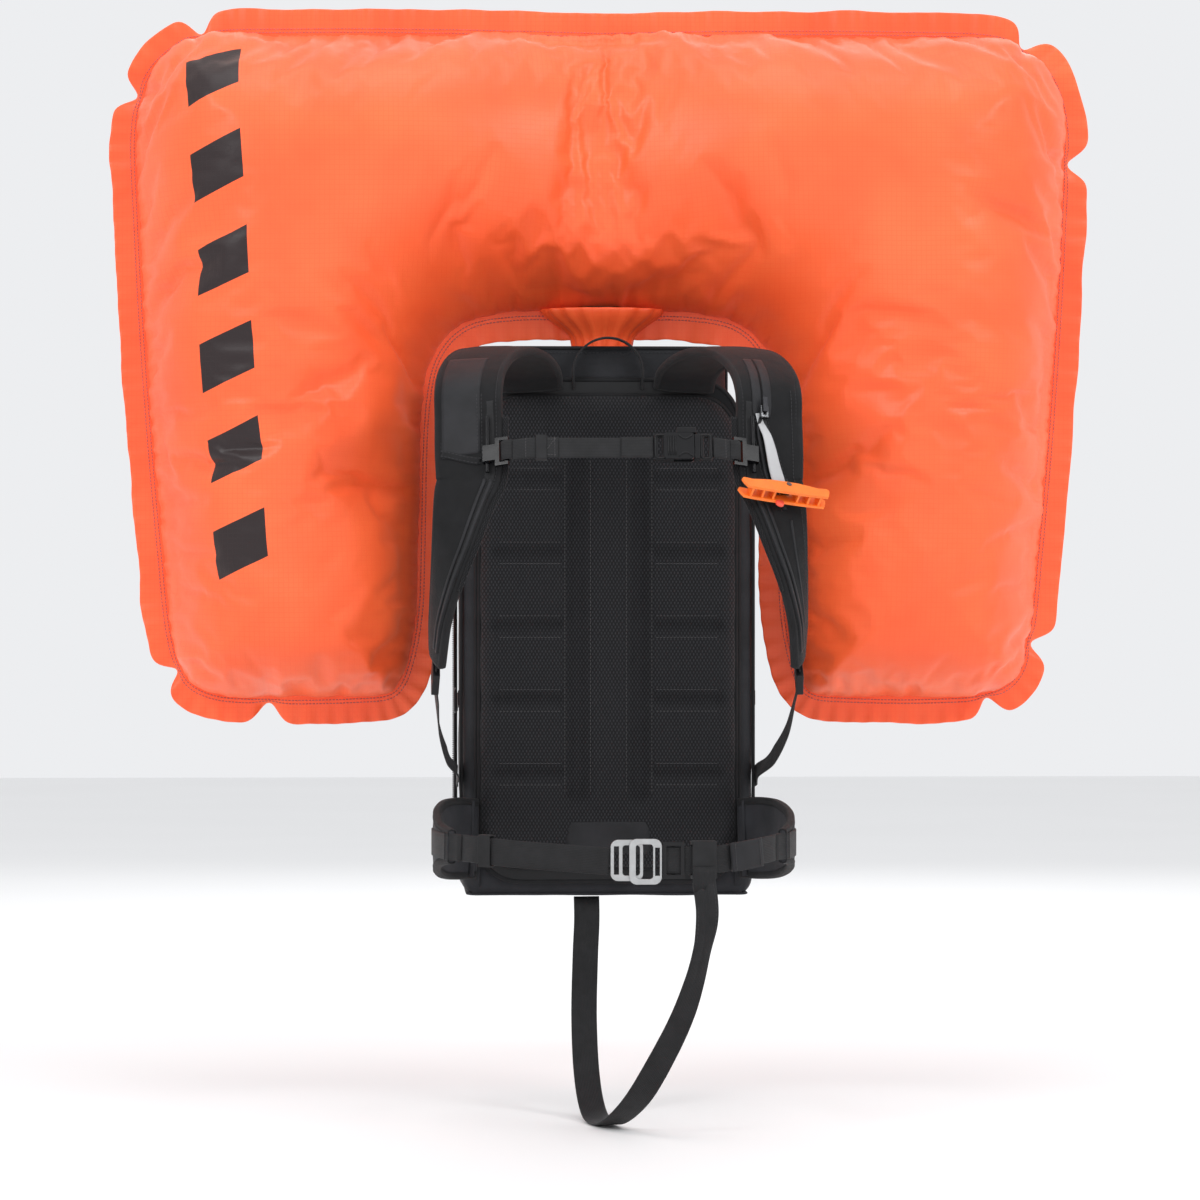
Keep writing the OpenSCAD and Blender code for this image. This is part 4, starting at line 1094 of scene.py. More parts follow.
def trigger(strip):
    out = -(R_TRIGGER @ np.array([0, 1, 0]))
    z = np.linspace(-28.5, 46, 36)
    y = np.interp(z, [-28.5, -24, 22, 36, 46], [-3.9, -4.2, -4.3, 0.6, 1.3])
    wide = np.interp(z, [-28.5, -20, 6, 30, 46], [12.8, 12.9, 10.8, 7.4, 6.2])
    thick = np.interp(z, [-28.5, 18, 36, 46], [2.3, 2.4, 0.8, 0.6])
    x = 0.35 * np.sin(z / 7.0)
    tape("trigger_sleeve_cloth", placed(np.stack([x, y, z], 1), R_TRIGGER, O_TRIGGER), wide, thick, "sleeve_cloth",
        "trigger", out, node="trigger_sleeve", round_edge=0.9)
    moulded("trigger_handle", "handle_plastic", 0.55, 3)
    moulded("handle_pivot", "glossy_plastic", 0.35)
    barrel = O_HANDLE + R_HANDLE @ np.array([0, 0, 4.0])
    cross = R_HANDLE @ turn("y", 90)
    lathe("barrel_ring", [(4.25, -5.2), (5.0, -5.0), (5.1, -4.2), (4.25, -3.8)], "grey_plastic", "trigger", cross,
        barrel, closed=True)
    front = R_HANDLE @ turn("x", 90)
    lathe("handle_pin_head", [(0.0, 0.0), (2.2, 0.0), (2.5, 0.3), (2.5, 0.7), (0.0, 0.72)], "grey_plastic", "handle",
        front, O_HANDLE + R_HANDLE @ np.array([3.5, -6.95, 4.6]))
    nub = catmull([(-8.6, 5.8, -6.5), (-8.8, 5.8, -10.5), (-7.0, 5.8, -13.0), (-4.2, 5.8, -13.6), (-1.8, 5.8, -11.8),
        (-1.4, 5.8, -6.5)], 5)
    verts, n = [], len(nub)
    for dy, grow in ((-1.4, 0.0), (-1.0, 0.5), (1.0, 0.5), (1.4, 0.0)):
        mid = np.array([-5.0, 5.8, -9.5])
        verts.extend(nub + (nub - mid) * 0.06 * grow * 2 + np.array([0, dy, 0]))
    faces = [(r * n + j, r * n + (j + 1) % n, (r + 1) * n + (j + 1) % n, (r + 1) * n + j) for r in range(3)
        for j in range(n)]
    faces += [tuple(range(n))[::-1], tuple(3 * n + j for j in range(n))]
    closed_piece("handle_nub", placed(verts, R_HANDLE, O_HANDLE), faces, "tab_plastic", "handle",
        slot="handle_plastic")
    # the zip above the slider, and the lips that part below it
    zip_line = [(-118, -6.6, 5.2), (-90, -8.4, 5.5), (-66, -9.6, 5.7), (-51, -10.0, 5.8)]
    for k, off in enumerate((-5.2, 5.2)):
        ribbon_on("zip_flap_%d" % k, strip, [(s, a + off, b + 0.4) for s, a, b in zip_line]
            + [(-43, -10 + off * 0.8, 6.2)], 8.4, 1.3, "smooth_cloth", node="trigger_zip")
    rows = [path_row(strip, [(s, a + off, b + 0.75) for s, a, b in zip_line], 1.0) for off in (-0.55, 0.55)]
    coil = threads("zip_coil", rows, "pack", "black_plastic", 0.85, 1.35, 0.7, slot="black_plastic")
    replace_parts(coil, "trigger_zip")
    left = [(-40, -11.6, 6.7), (-28, -14.5, 6.4), (-8, -12.0, 6.4), (10, -9.0, 6.4), (26, -5.5, 6.3), (50, 1, 6.0)]
    right = [(-40, -8.4, 6.7), (-28, -5.2, 6.6), (-8, 1.5, 6.4), (10, 6.8, 6.2), (26, 11.0, 6.0), (44, 15.0, 5.7)]
    for k, lip in enumerate((left, right)):
        ribbon_on("pocket_lip_%d" % k, strip, lip, 3.4, 3.0, "smooth_cloth", lift=0.5)
        sign = -1 if k == 0 else 1
        threads("pocket_coil_%d" % k, [path_row(strip, [(s, a - sign * 1.9, b + 0.8) for s, a, b in lip], 1.0)],
            "pack", "black_plastic", 0.85, 1.35, 0.7, slot="black_plastic")
    threads("pocket_stitches", [path_row(strip, [(s, a + sign * 3.6, b - 0.1) for s, a, b in lip], 2.0)
        for lip, sign in ((left, -1), (right, 1))], "pack", slot="pack_fabric")
    moulded("pocket_slider", "zip_metal", 0.7)
    moulded("pocket_puller", "dark_metal", 0.35)


trigger(strap)

# ---------- hip belt and leg strap ----------

BELT_W = 25.0


def belt(points, width=BELT_W):
    return [(x, y, z, width, 0, 0, 1) for x, y, z in points]


FIN = [(129, 10, -233, 78, 0, 0, 1), (147, -8, -232, 80, 0, 0, 1), (161, -45, -231, 76, 0, 0, 1),
    (168, -95, -230, 62, 0, 0, 1), (166, -145, -230, 44, 0, 0, 1), (155, -188, -231, 32, 0, 0, 1)]
LEFT_BELT = [(-152, -195, -231), (-132, -225, -232), (-95, -250, -235), (-50, -261, -238), (-11, -264, -241)]
RIGHT_BELT = [(38, -264, -240), (52, -264, -240), (68, -264, -240), (92, -259.5, -239), (122, -242, -235),
    (143, -214, -232), (151, -195, -231)]
RIGHT_TAIL = [(102, -260.5, -237.6), (118, -249.4, -235.8), (132, -236.5, -233.8)]
LEG = [(76, -266, -258.8, 22, 0), (79, -270, -290, 21, 0), (74, -266, -325, 20, 30), (60, -252, -378, 22, 10),
    (38, -232, -428, 24, 0), (18, -205, -466, 25, 0), (0, -165, -490, 25, 0), (-12, -120, -497, 25, 0),
    (-19, -75, -487, 25, 0), (-23, -35, -455, 25, 0), (-24, -5, -405, 25, 0), (-22, 15, -350, 25, 0),
    (-20, 28, -315, 25, 0), (-20, 36, -291, 25, 0)]


def hip_fin(side):
    word = SIDE[side]
    strip = Strip(FIN[::-1], 3.0, side)
    node = "hip_fin_" + word
    swept("hip_fin_pad_" + word, strip, foam_section(1.6, 4.6, 2.2), "pack_panel", "pack", 0.5,
        strip.length - 0.5, node=node, ripple=0.5, seed=21 * side)

    def wrap(sign):
        def section(s, h):
            return [(sign * a, b) for a, b in ((h - 7, 3.6), (h - 2, 3.9), (h - 0.4, 2.6), (h, 0), (h - 0.4, -2.6),
                (h - 2, -3.9), (h - 7, -3.6), (h - 6.6, -2.6), (h - 2.4, -2.8), (h - 1.2, 0), (h - 2.4, 2.8),
                (h - 6.6, 2.6))]
        return section

    rows = []
    for sign in (-1, 1):
        swept("hip_fin_binding_%s_%s" % (word, "low" if sign < 0 else "high"), strip, wrap(sign), "binding_tape",
            "pack", 0.5, strip.length - 0.5, node=node)
        s = np.arange(4, strip.length - 4, 3.0)
        rows.append(seam_on(strip, s, sign * (strip.half(s) - 5.6), 3.95))
    s = np.arange(30, strip.length - 12, 3.0)
    for sign in (-1, 1):
        rows.append(seam_on(strip, s, sign * np.minimum(10.5, strip.half(s) - 9), 4.5))
    threads("hip_fin_stitches_" + word, rows, "pack", slot="pack_fabric")
    flip = np.array([side, 1, 1])
    tape("hip_fin_join_" + word, np.array([(146.4, -205.4, -231.6), (150.6, -197, -231), (155.4, -190.8, -231),
        (160.0, -185.2, -231), (162.8, -177, -231)]) * flip, 25.0, 1.5, "webbing", "pack",
        np.array([0.86, -0.5, 0]) * flip)
    tape("hip_fin_root_" + word, np.array([(133.6, 0, -232.5), (131.6, 8, -233), (132.6, 15, -233),
        (136.4, 20.6, -233), (142.4, 29, -233)]) * flip, 74.0, 4.0, "pack_panel", "pack",
        np.array([0.93, 0.3, 0]) * flip)
    line, facing = seam_on(strip, np.arange(6, strip.length - 4, 3.0), 0.0, 4.6)
    tape("hip_fin_band_" + word, line, BELT_W, 1.4, "webbing", "pack", facing)


def hip_belt():
    for side in (-1, 1):
        hip_fin(side)
    left, right = Strip(belt(LEFT_BELT), 3.0), Strip(belt(RIGHT_BELT), 3.0)
    for node, strip, layer, lift, start, stop in (("hip_webbing_left", left, "lower", -0.8, 0.0, left.length),
            ("hip_webbing_left", left, "upper", 0.85, 44, left.length - 0.4),
            ("hip_webbing_right", right, "lower", -0.8, 0.4, right.length),
            ("hip_webbing_right", right, "upper", 0.85, 0.4, 66)):
        swept(node + "_" + layer, strip, flat_section(1.5, lift=lift), "webbing", "pack", start, stop, node=node)
    tail = Strip(belt(RIGHT_TAIL, 27), 2.5)
    swept("hip_webbing_tail", tail, flat_section(2.6, crown=0.4), "smooth_cloth", "pack", node="hip_webbing_right")
    rows = [seam_across(left, s, 10.5, 1.75, 10) for s in (48.0, 52.0)]
    rows += [seam_across(tail, s, 11, 1.9, 10) for s in (4.0, tail.length - 4)]
    threads("belt_stitches", rows, "pack", "thread_grey", 2.2, 2.8, 0.3, slot="webbing")
    moulded("belt_keeper", "elastic", 0.6)
    moulded("hip_ring", "blasted_alloy", 1.1, 3)
    moulded("hip_hook", "blasted_alloy", 1.2, 3)
    moulded("tri_glide", "satin_plastic", 0.8)
    moulded("leg_loop", "fine_webbing", 0.7)


def leg_strap():
    strip = Strip([turned(*row) for row in LEG], 4.0)

    def section(s, half):
        fold = 0.9 * max(0.0, 1 - s / 150)
        xs = np.linspace(-1, 1, 15)
        top = [(x * (half - 0.6), 0.95 + fold * abs(math.sin(math.pi * x)) ** 0.7) for x in xs]
        bottom = [(x * (half - 0.6), -1.05) for x in xs[::-1]]
        return top + [(half, 0.5), (half, -0.5)] + bottom + [(-half, -0.5), (-half, 0.5)]

    swept("leg_strap_web", strip, section, "webbing", "pack", 0.4, strip.length - 0.4, 4.0, node="leg_strap",
        ripple=0.5, seed=33)
    rows = [seam_on(strip, np.arange(6, 60, 3.0), a, 1.5) for a in (-8.2, 8.2)]
    rows += [seam_on(strip, np.arange(strip.length - 34, strip.length - 4, 3.0), a, 1.2) for a in (-9.5, 9.5)]
    threads("leg_strap_stitches", rows, "pack", slot="webbing")
    # its end, sewn over the front of the loop on the belt
    head = [(76, -269.3, -246), (76, -269.3, -252), (76, -269.0, -257), (76.3, -268.2, -261), (76.8, -268.0, -268)]
    tape("leg_strap_head", head, 21.0, 1.3, "webbing", "pack", (0.13, -0.99, 0))


hip_belt()
leg_strap()

# ---------- lower strap webbing ----------


def lower_webbing(side):
    word = SIDE[side]
    rows = [turned(170, -177, -80.4, 20, 84), turned(169.5, -166, -91, 20, 86), turned(166, -110, -124, 20, 92),
        turned(158, -50, -150, 20, 96), turned(148.5, 8, -166, 20, 92), turned(147.2, 46, -174, 20, 90)]
    strip = Strip(rows, 3.0, side)
    swept("lower_webbing_run_" + word, strip, flat_section(1.5), "webbing", "pack", node="lower_webbing_" + word)
    path = [(169.2, -203, -57.5), (170.4, -193.8, -63.6), (173.2, -190, -67.2), (170.6, -186, -71.4),
        (169.4, -181.5, -76), (170, -177.2, -80.2)]
    p = catmull(path, 6) * [side, 1, 1]
    tape("adjuster_web_" + word, p, 18.5, 1.4, "webbing", "pack", (side, 0.1, 0))


for side in (-1, 1):
    lower_webbing(side)
moulded("strap_adjusters", "black_plastic", 0.8)

# ---------- cloth patches ----------


def patch2d(outline, pitch, holes=()):
    """Points and triangles that fill an outline, its own points first."""
    rng = random.Random(1)
    loops = [np.asarray(outline, float)] + [np.asarray(h, float) for h in holes]
    edges, base = [], 0
    for loop in loops:
        edges += [(base + i, base + (i + 1) % len(loop)) for i in range(len(loop))]
        base += len(loop)
    lo, hi = loops[0].min(0), loops[0].max(0)
    grid = np.array([(x + (k % 2) * pitch / 2 + rng.uniform(-0.08, 0.08) * pitch,
        z + rng.uniform(-0.08, 0.08) * pitch) for k, z in enumerate(np.arange(lo[1], hi[1], pitch * 0.866))
        for x in np.arange(lo[0], hi[0], pitch)])
    grid = grid[inside(grid, loops[0])]
    for k, loop in enumerate(loops):
        if k:
            grid = grid[~inside(grid, loop)]
        grid = grid[distance_to(grid, loop) > pitch * 0.6]
    return *triangles(np.vstack(loops + [grid]), edges, loops), edges


def cloud(points, size, seed=0.0):
    """Smooth noise from -1 to 1 at each point, its blobs about size millimetres."""
    return np.array([noise.noise(Vector((p[0] / size + seed, p[1] / size - seed, seed * 0.37))) for p in points])


def cloth_patch(name, outline, near, far, material, body, axes="xz", pitch=6.0, holes=(), slot="pack_fabric",
        finer=True, node=None):
    """Closed piece over an outline: near and far give its two faces' depth at (points, rim distance)."""
    flat, tris, edges = patch2d(outline, pitch, holes)
    depth = distance_to(flat, np.asarray(outline, float))
    n = len(flat)

    def lay(height):
        order = {"xz": (0, 2, 1), "xy": (0, 1, 2)}[axes]
        out = np.zeros((n, 3))
        out[:, order[0]], out[:, order[1]], out[:, order[2]] = flat[:, 0], flat[:, 1], height
        return out

    verts = np.vstack([lay(near(flat, depth)), lay(far(flat, depth))])
    faces = [tuple(t) for t in tris] + [tuple(n + t[::-1]) for t in tris]
    faces += [(b, a, n + a, n + b) for a, b in edges]
    return closed_piece(name, verts, faces, material, body, np.vstack([flat, flat]) * MM, slot, node, finer)


def bead(name, points, radius, material, body, slot="pack_fabric", closed=True, flat=1.0):
    return ring_path(name, even(points, 4.0, closed), radius, material, body, closed, 8, slot, flat)


def smoothstep(x, low, high):
    t = np.clip((np.asarray(x, float) - low) / (high - low), 0, 1)
    return t * t * (3 - 2 * t)


# ---------- back panel ----------

PAD_TOP, PAD_LOW, PAD_HALF = 200.0, -262.0, 125.0


def groove(distance, half, depth):
    return depth * (1 - smoothstep(distance, half - 6, half + 4))


def back_pad():
    outline = rounded_outline(2 * PAD_HALF, PAD_TOP - PAD_LOW, 40, 0, (PAD_TOP + PAD_LOW) / 2, 4.0)

    def contact(p, d):
        x, z = np.abs(p[:, 0]), p[:, 1]
        y = 11.5 * (1 - np.sqrt(1 - np.clip(1 - d / 15, 0, 1) ** 2))
        run = np.maximum(np.abs(z + 25) - 165, 0)
        y = np.maximum(y, groove(np.hypot(np.maximum(np.abs(x - 30), 0), run), 10, 8.6))
        for k in range(5):
            gap = np.hypot(np.maximum(np.abs(x - 77) - 30, 0), np.abs(z - (-170 + 72 * k)))
            y = np.maximum(y, groove(gap, 6, 5.8))
        row = np.abs(((z + 170 + 36) % 72) - 36) / 36
        crown = 1.6 * (1 - np.minimum(row, 1)) ** 2
        return y + np.where(x > 38, crown, 0.4) + 0.25 * (1 + cloud(p, 24, 4))

    cloth_patch("back_pad_foam", outline, contact, lambda p, d: 15.6 + 0 * d, "spacer_mesh", "pack",
        pitch=4.6, slot="pad_foam", finer=False, node="back_pad")
    ring = np.stack([outline[:, 0] * 1.004, np.full(len(outline), 13.4), outline[:, 1]], 1)
    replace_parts(bead("back_pad_binding", ring, 2.3, "binding_tape", "pack"), "back_pad")
    rows = []
    down = np.array([0, -1.0, 0])
    for side in (-1, 1):
        for x in (17.5, 42.5):
            z = np.arange(-186, 138, 3.0)
            rows.append((np.stack([np.full(len(z), side * x), np.full(len(z), 0.5), z], 1), np.tile(down, (len(z), 1))))
        for k in range(5):
            for dz in (-10.5, 10.5):
                x = np.arange(48, 108, 3.0)
                rows.append((np.stack([side * x, np.full(len(x), 1.1), np.full(len(x), -170 + 72 * k + dz)], 1),
                    np.tile(down, (len(x), 1))))
    threads("back_pad_stitches", rows, "pack", "thread_grey", 2.4, 3.4, 0.32, slot="pad_foam")
    cloth_patch("lumbar_patch", rounded_outline(84, 34, 8, 0, -232, 4.0), lambda p, d: 0.2 + 0.9 * (d < 0.5),
        lambda p, d: 2.4 + 0 * d, "smooth_cloth", "pack", pitch=5.0, finer=False)


back_pad()
cloth_patch("inner_back_panel", rounded_outline(270, 446, 8, 0, -65.5, 6.0), lambda p, d: 21.9 + 0 * d,
    lambda p, d: 23.3 + 0 * d, "pack_panel", "pack", pitch=12.0, finer=False)
frame_edge = rounded_outline(257, 491, 42.5, 0, -30, 4.0)
bead("frame_binding", np.stack([frame_edge[:, 0], np.full(len(frame_edge), 17.4), frame_edge[:, 1]], 1), 2.4,
    "binding_tape", "pack")
recolour("frame_sheet", "satin_plastic")
recolour("back_stays", "brushed_alloy")

# ---------- pack body ----------

LOW, SHELF, TOP = -290.0, 160.0, 248.0


def double_faces(n, m, closed=False):
    """Faces of two layers of m rows of n points, joined along their open edges."""
    faces, behind, cells = [], n * m, range(n if closed else n - 1)
    for layer in (0, behind):
        for i in range(m - 1):
            for j in cells:
                a, b = layer + i * n + j, layer + i * n + (j + 1) % n
                faces.append((a, b, b + n, a + n))
    for i in range(m - 1):
        for a in () if closed else (i * n, i * n + n - 1):
            faces.append((a, a + n, a + n + behind, a + behind))
    for j in cells:
        for i in (0, m - 1):
            a, b = i * n + j, i * n + (j + 1) % n
            faces.append((a, b, b + behind, a + behind))
    return faces


def side_wall(side):
    """One side of the pack body, from the rear flap's zip round the front corner to the frame sheet."""
    word = SIDE[side]
    path = even(catmull([(141.5, 203.6), (144.2, 196), (145, 176), (145, 110), (145, 44), (142.6, 27), (135, 20.4),
        (124.5, 19.4)], 10), 5.0)
    zs = np.concatenate([[LOW + 0.6 + 16 * (1 - math.cos(a)) for a in np.linspace(0.1, math.pi / 2, 6)],
        np.linspace(LOW + 24, SHELF - 1, 62)])
    run = tangents(path)
    out = np.stack([-run[:, 1], run[:, 0]], 1)
    out *= np.sign(out[len(out) // 2, 0])
    verts, uv = [], []
    reach = np.concatenate([[0], np.cumsum(np.linalg.norm(np.diff(path, axis=0), axis=1))])
    for skin_depth in (0.0, 2.0):
        for z in zs:
            tuck = 16 * (1 - math.sqrt(max(0.0, 1 - max(0.0, 1 - (z - LOW) / 17) ** 2)))
            for k, (x, y) in enumerate(path):
                edge = min(1.0, (reach[-1] - reach[k]) / 30, reach[k] / 14)
                q = Vector((y * 0.013, z * 0.011, side * 3.0))
                slack = -1.5 + 2.6 * noise.noise(q) + 1.1 * noise.noise(q * 2.6)
                crease = -2.2 * math.exp(-((z + 170) / 26) ** 2 - ((y - 52) / 34) ** 2)
                move = edge * (min(slack, 1.2) + crease) - skin_depth - tuck * (x > 100)
                verts.append((side * (x + out[k, 0] * move), y + out[k, 1] * move, z))
                uv.append((reach[k] * MM, z * MM))
    closed_piece("side_wall_" + word, verts, double_faces(len(path), len(zs)), "pack_cloth", "pack", uv,
        node="side_panel_" + word, finer=True)
    tape("flap_zip_tape_" + word, [(side * 145.9, 200.5, z) for z in np.linspace(-276, 152, 60)], 9.0, 1.0,
        "smooth_cloth", "pack", (side, 0.25, 0))
    line = np.array([(side * 149.2, 203.0, z) for z in np.linspace(-274, 150, 200)])
    threads("flap_zip_coil_" + word, [(line, np.tile([side * 1.0, 0.4, 0], (len(line), 1)))], "pack",
        "black_plastic", 1.0, 1.9, 0.85, slot="black_plastic")
    bead("flap_zip_welt_" + word, [(side * 146.6, 203.0, z) for z in np.linspace(-276, 152, 60)], 1.9,
        "smooth_cloth", "pack", closed=False)
    bead("side_piping_" + word, [(side * 143.4, 24.5, z) for z in np.linspace(-262, 150, 50)], 1.7, "binding_tape",
        "pack", closed=False)
    # a compression strap across the side, with its ladder buckle
    for k, z in enumerate((96.0, -96.0)):
        ys = np.linspace(36, 190, 30)
        band = [(side * (145.6 + 0.5 * math.sin(y * 0.06 + k)), y, z - 10 * (y - 36) / 154) for y in ys]
        tape("side_strap_%s_%d" % (word, k), band, 15.0, 1.4, "webbing", "pack", (side, 0, 0))
        bar = "side_buckle_%s_%d" % (word, k)
        loop = [(side * 147.8, 104 + dy, z - 4.4 + dz) for dy, dz in ((-9, -9.5), (9, -9.5), (9, 9.5), (-9, 9.5))]
        frame_loop = catmull(loop + loop[:1], 6)[:-1]
        ring_path(bar, frame_loop, 1.3, "black_plastic", "pack", True, 8, "black_plastic")
        ring_path(bar + "_bar", [(side * 147.8, 104, z - 13.6), (side * 147.8, 104, z + 4.8)], 1.2, "black_plastic",
            "pack", False, 8, "black_plastic")


def pack_body():
    for side in (-1, 1):
        side_wall(side)
    outline = rounded_outline(278, 183, 12, 0, 111.5, 6.0)
    cloth_patch("base_panel", outline, lambda p, d: LOW + 0.6 - 1.6 * smoothstep(d, 2, 40) + 0.8 * cloud(p, 50),
        lambda p, d: LOW + 3.2 + 0 * d, "pack_panel", "pack", "xy", 8.0, node="bottom_panel")
    hole = np.array([(-66 + 34 * math.cos(a), 78 + 34 * math.sin(a)) for a in np.linspace(0, 2 * math.pi, 40, False)])
    cloth_patch("shelf_cloth", outline, lambda p, d: SHELF - 3 + 0.6 * cloud(p, 40, 2),
        lambda p, d: SHELF - 0.8 + 0.8 * cloud(p, 60, 5), "pack_panel", "pack", "xy", 8.0, [hole], node="shelf_panel")
    compartment()


def compartment():
    """The airbag's compartment: a soft tube of cloth with a bound mouth."""
    path = rounded_outline(236, 184.4, 32, 0, 110.8, 5.0)
    out = outward(path)
    zs = np.linspace(SHELF + 0.2, TOP - 1.5, 22)
    n, verts, uv = len(path), [], []
    reach = np.arange(n) * 5.0
    for skin_depth in (0.0, 2.0):
        for z in zs:
            t = (z - zs[0]) / (zs[-1] - zs[0])
            for k, (x, y) in enumerate(path):
                q = Vector((math.cos(k * 2 * math.pi / n) * 2.2, math.sin(k * 2 * math.pi / n) * 2.2, z * 0.022))
                move = -skin_depth + math.sin(math.pi * t) * (-0.6 + 1.5 * noise.noise(q) + noise.noise(q * 2.4))
                if y < 24:
                    move = -skin_depth - 0.1
                verts.append((x + out[k, 0] * move, y + out[k, 1] * move, z))
                uv.append((reach[k] * MM, z * MM))
    closed_piece("compartment_cloth", verts, double_faces(n, len(zs), True), "pack_cloth", "pack", uv,
        node="airbag_compartment")
    away = np.column_stack([out, np.zeros(n)])
    rim = np.column_stack([path, np.full(n, TOP - 1.4)]) - away
    bead("compartment_rim", rim, 2.2, "binding_tape", "pack")
    threads("compartment_stitches", [(rim + [0, 0, -4.6] + away * 1.2, away)], "pack", slot="pack_fabric")
    lid = [(x, y, SHELF + 0.6) for x, y in ((-144, 30), (-144, 196), (-130, 204), (0, 205), (130, 204), (144, 196),
        (144, 30))]
    bead("shoulder_piping", catmull(lid, 8), 1.9, "binding_tape", "pack", closed=False)
    for side in (-1, 1):
        word = SIDE[side]
        ledge = [(side * x, y) for x, y in ((120.5, 40), (143, 30), (144.5, 110), (143, 198), (120.5, 186))]
        if side < 0:
            ledge = ledge[::-1]
        ledge = even(ledge, 5.0, closed=True)
        cloth_patch("shoulder_ledge_" + word, ledge, lambda p, d: SHELF + 0.6 + 3.5 * smoothstep(d, 0, 12)
            + 0.6 * cloud(p, 30, 3), lambda p, d: SHELF - 0.4 + 0 * d, "pack_cloth", "pack", "xy", 6.0)
        moulded("burst_flap_" + word, "smooth_cloth", 0.9)
        line = np.array([(side * 121.3, y, 245.2) for y in np.linspace(60, 161, 70)])
        threads("burst_coil_" + word, [(line, np.tile([side * 1.0, 0, 0.2], (70, 1)))], "pack", "black_plastic", 1.0,
            1.8, 0.85, slot="black_plastic")
    arch = [(34.2 * math.cos(a), 8.2, 222 + 34.2 * math.sin(a)) for a in np.linspace(0, math.pi, 40)]
    arch = [(33.4, 8.2, 206)] + arch + [(-33.4, 8.2, 206)]
    facing = np.array([(p[0], 0, max(p[2] - 222, 0.0)) for p in arch], float)
    tape("haul_loop_web", arch, 14.0, 1.9, "webbing", "pack", unit(facing), node="haul_loop")


pack_body()

# ---------- rear flap and pocket ----------


def rear_flap():
    outline = rounded_outline(281, 441, 22, 0, (158 - 284) / 2, 5.0)

    def outer(p, d):
        puff = 2.6 * smoothstep(d, 2, 26) + 0.7 * cloud(p, 45, 7)
        return 207.6 + puff * (1 - 0.75 * ((np.abs(p[:, 0]) < 110) & (p[:, 1] < 66) & (p[:, 1] > -246)))

    cloth_patch("rear_panel", outline, outer, lambda p, d: 204.9 + 0 * d, "pack_cloth", "rear_flap",
        pitch=7.0, node="main_flap")
    ring = np.stack([outline[:, 0], np.full(len(outline), 206.4), outline[:, 1]], 1)
    bead("rear_panel_piping", ring, 1.9, "binding_tape", "rear_flap")
    inner = rounded_outline(266, 426, 18, 0, -63, 3.6)
    up = np.tile([0, 1.0, 0], (len(inner) + 1, 1))
    line = np.stack([inner[:, 0], np.full(len(inner), 209.2), inner[:, 1]], 1)
    threads("rear_panel_stitches", [(np.vstack([line, line[:1]]), up)], "rear_flap", slot="pack_fabric")
    pocket()
    # the strip of cloth that hinges the flap on the base
    fold = [(0, 195.5, -290.1), (0, 200.5, -290.4), (0, 205.0, -289.6), (0, 208.2, -286.6), (0, 209.7, -282.4),
        (0, 210.2, -277.0)]
    fold = even(catmull(fold, 6), 1.2)
    run = tangents(fold)
    hinge = tape("flap_hinge_cloth", fold, 236.0, 1.3, "binding_tape", None,
        np.stack([run[:, 0], run[:, 2], -run[:, 1]], 1))
    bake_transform(hinge)
    # axe loop; the daisy chain over the pocket is made in pocket()
    arc = [(70, 210.8, -277.6), (70, 217, -277.0), (70, 227, -275.8)]
    arc += [(70, 234.9 + 12.6 * math.sin(t), -262 - 12.6 * math.cos(t)) for t in np.linspace(0.15, math.pi / 2, 12)]
    arc += [(70, 247.5, -256), (70, 247.2, -248), (70, 243.6, -241.8), (70, 237.0, -238.4), (70, 232.8, -233.6),
        (70, 232.4, -226.0)]
    arc = even(catmull(arc, 4), 2.0)
    run = tangents(arc)
    facing = np.stack([run[:, 0], run[:, 2], -run[:, 1]], 1)
    tape("axe_loop_web", arc, 19.0, 1.8, "webbing", "rear_flap", facing, node="axe_loop")


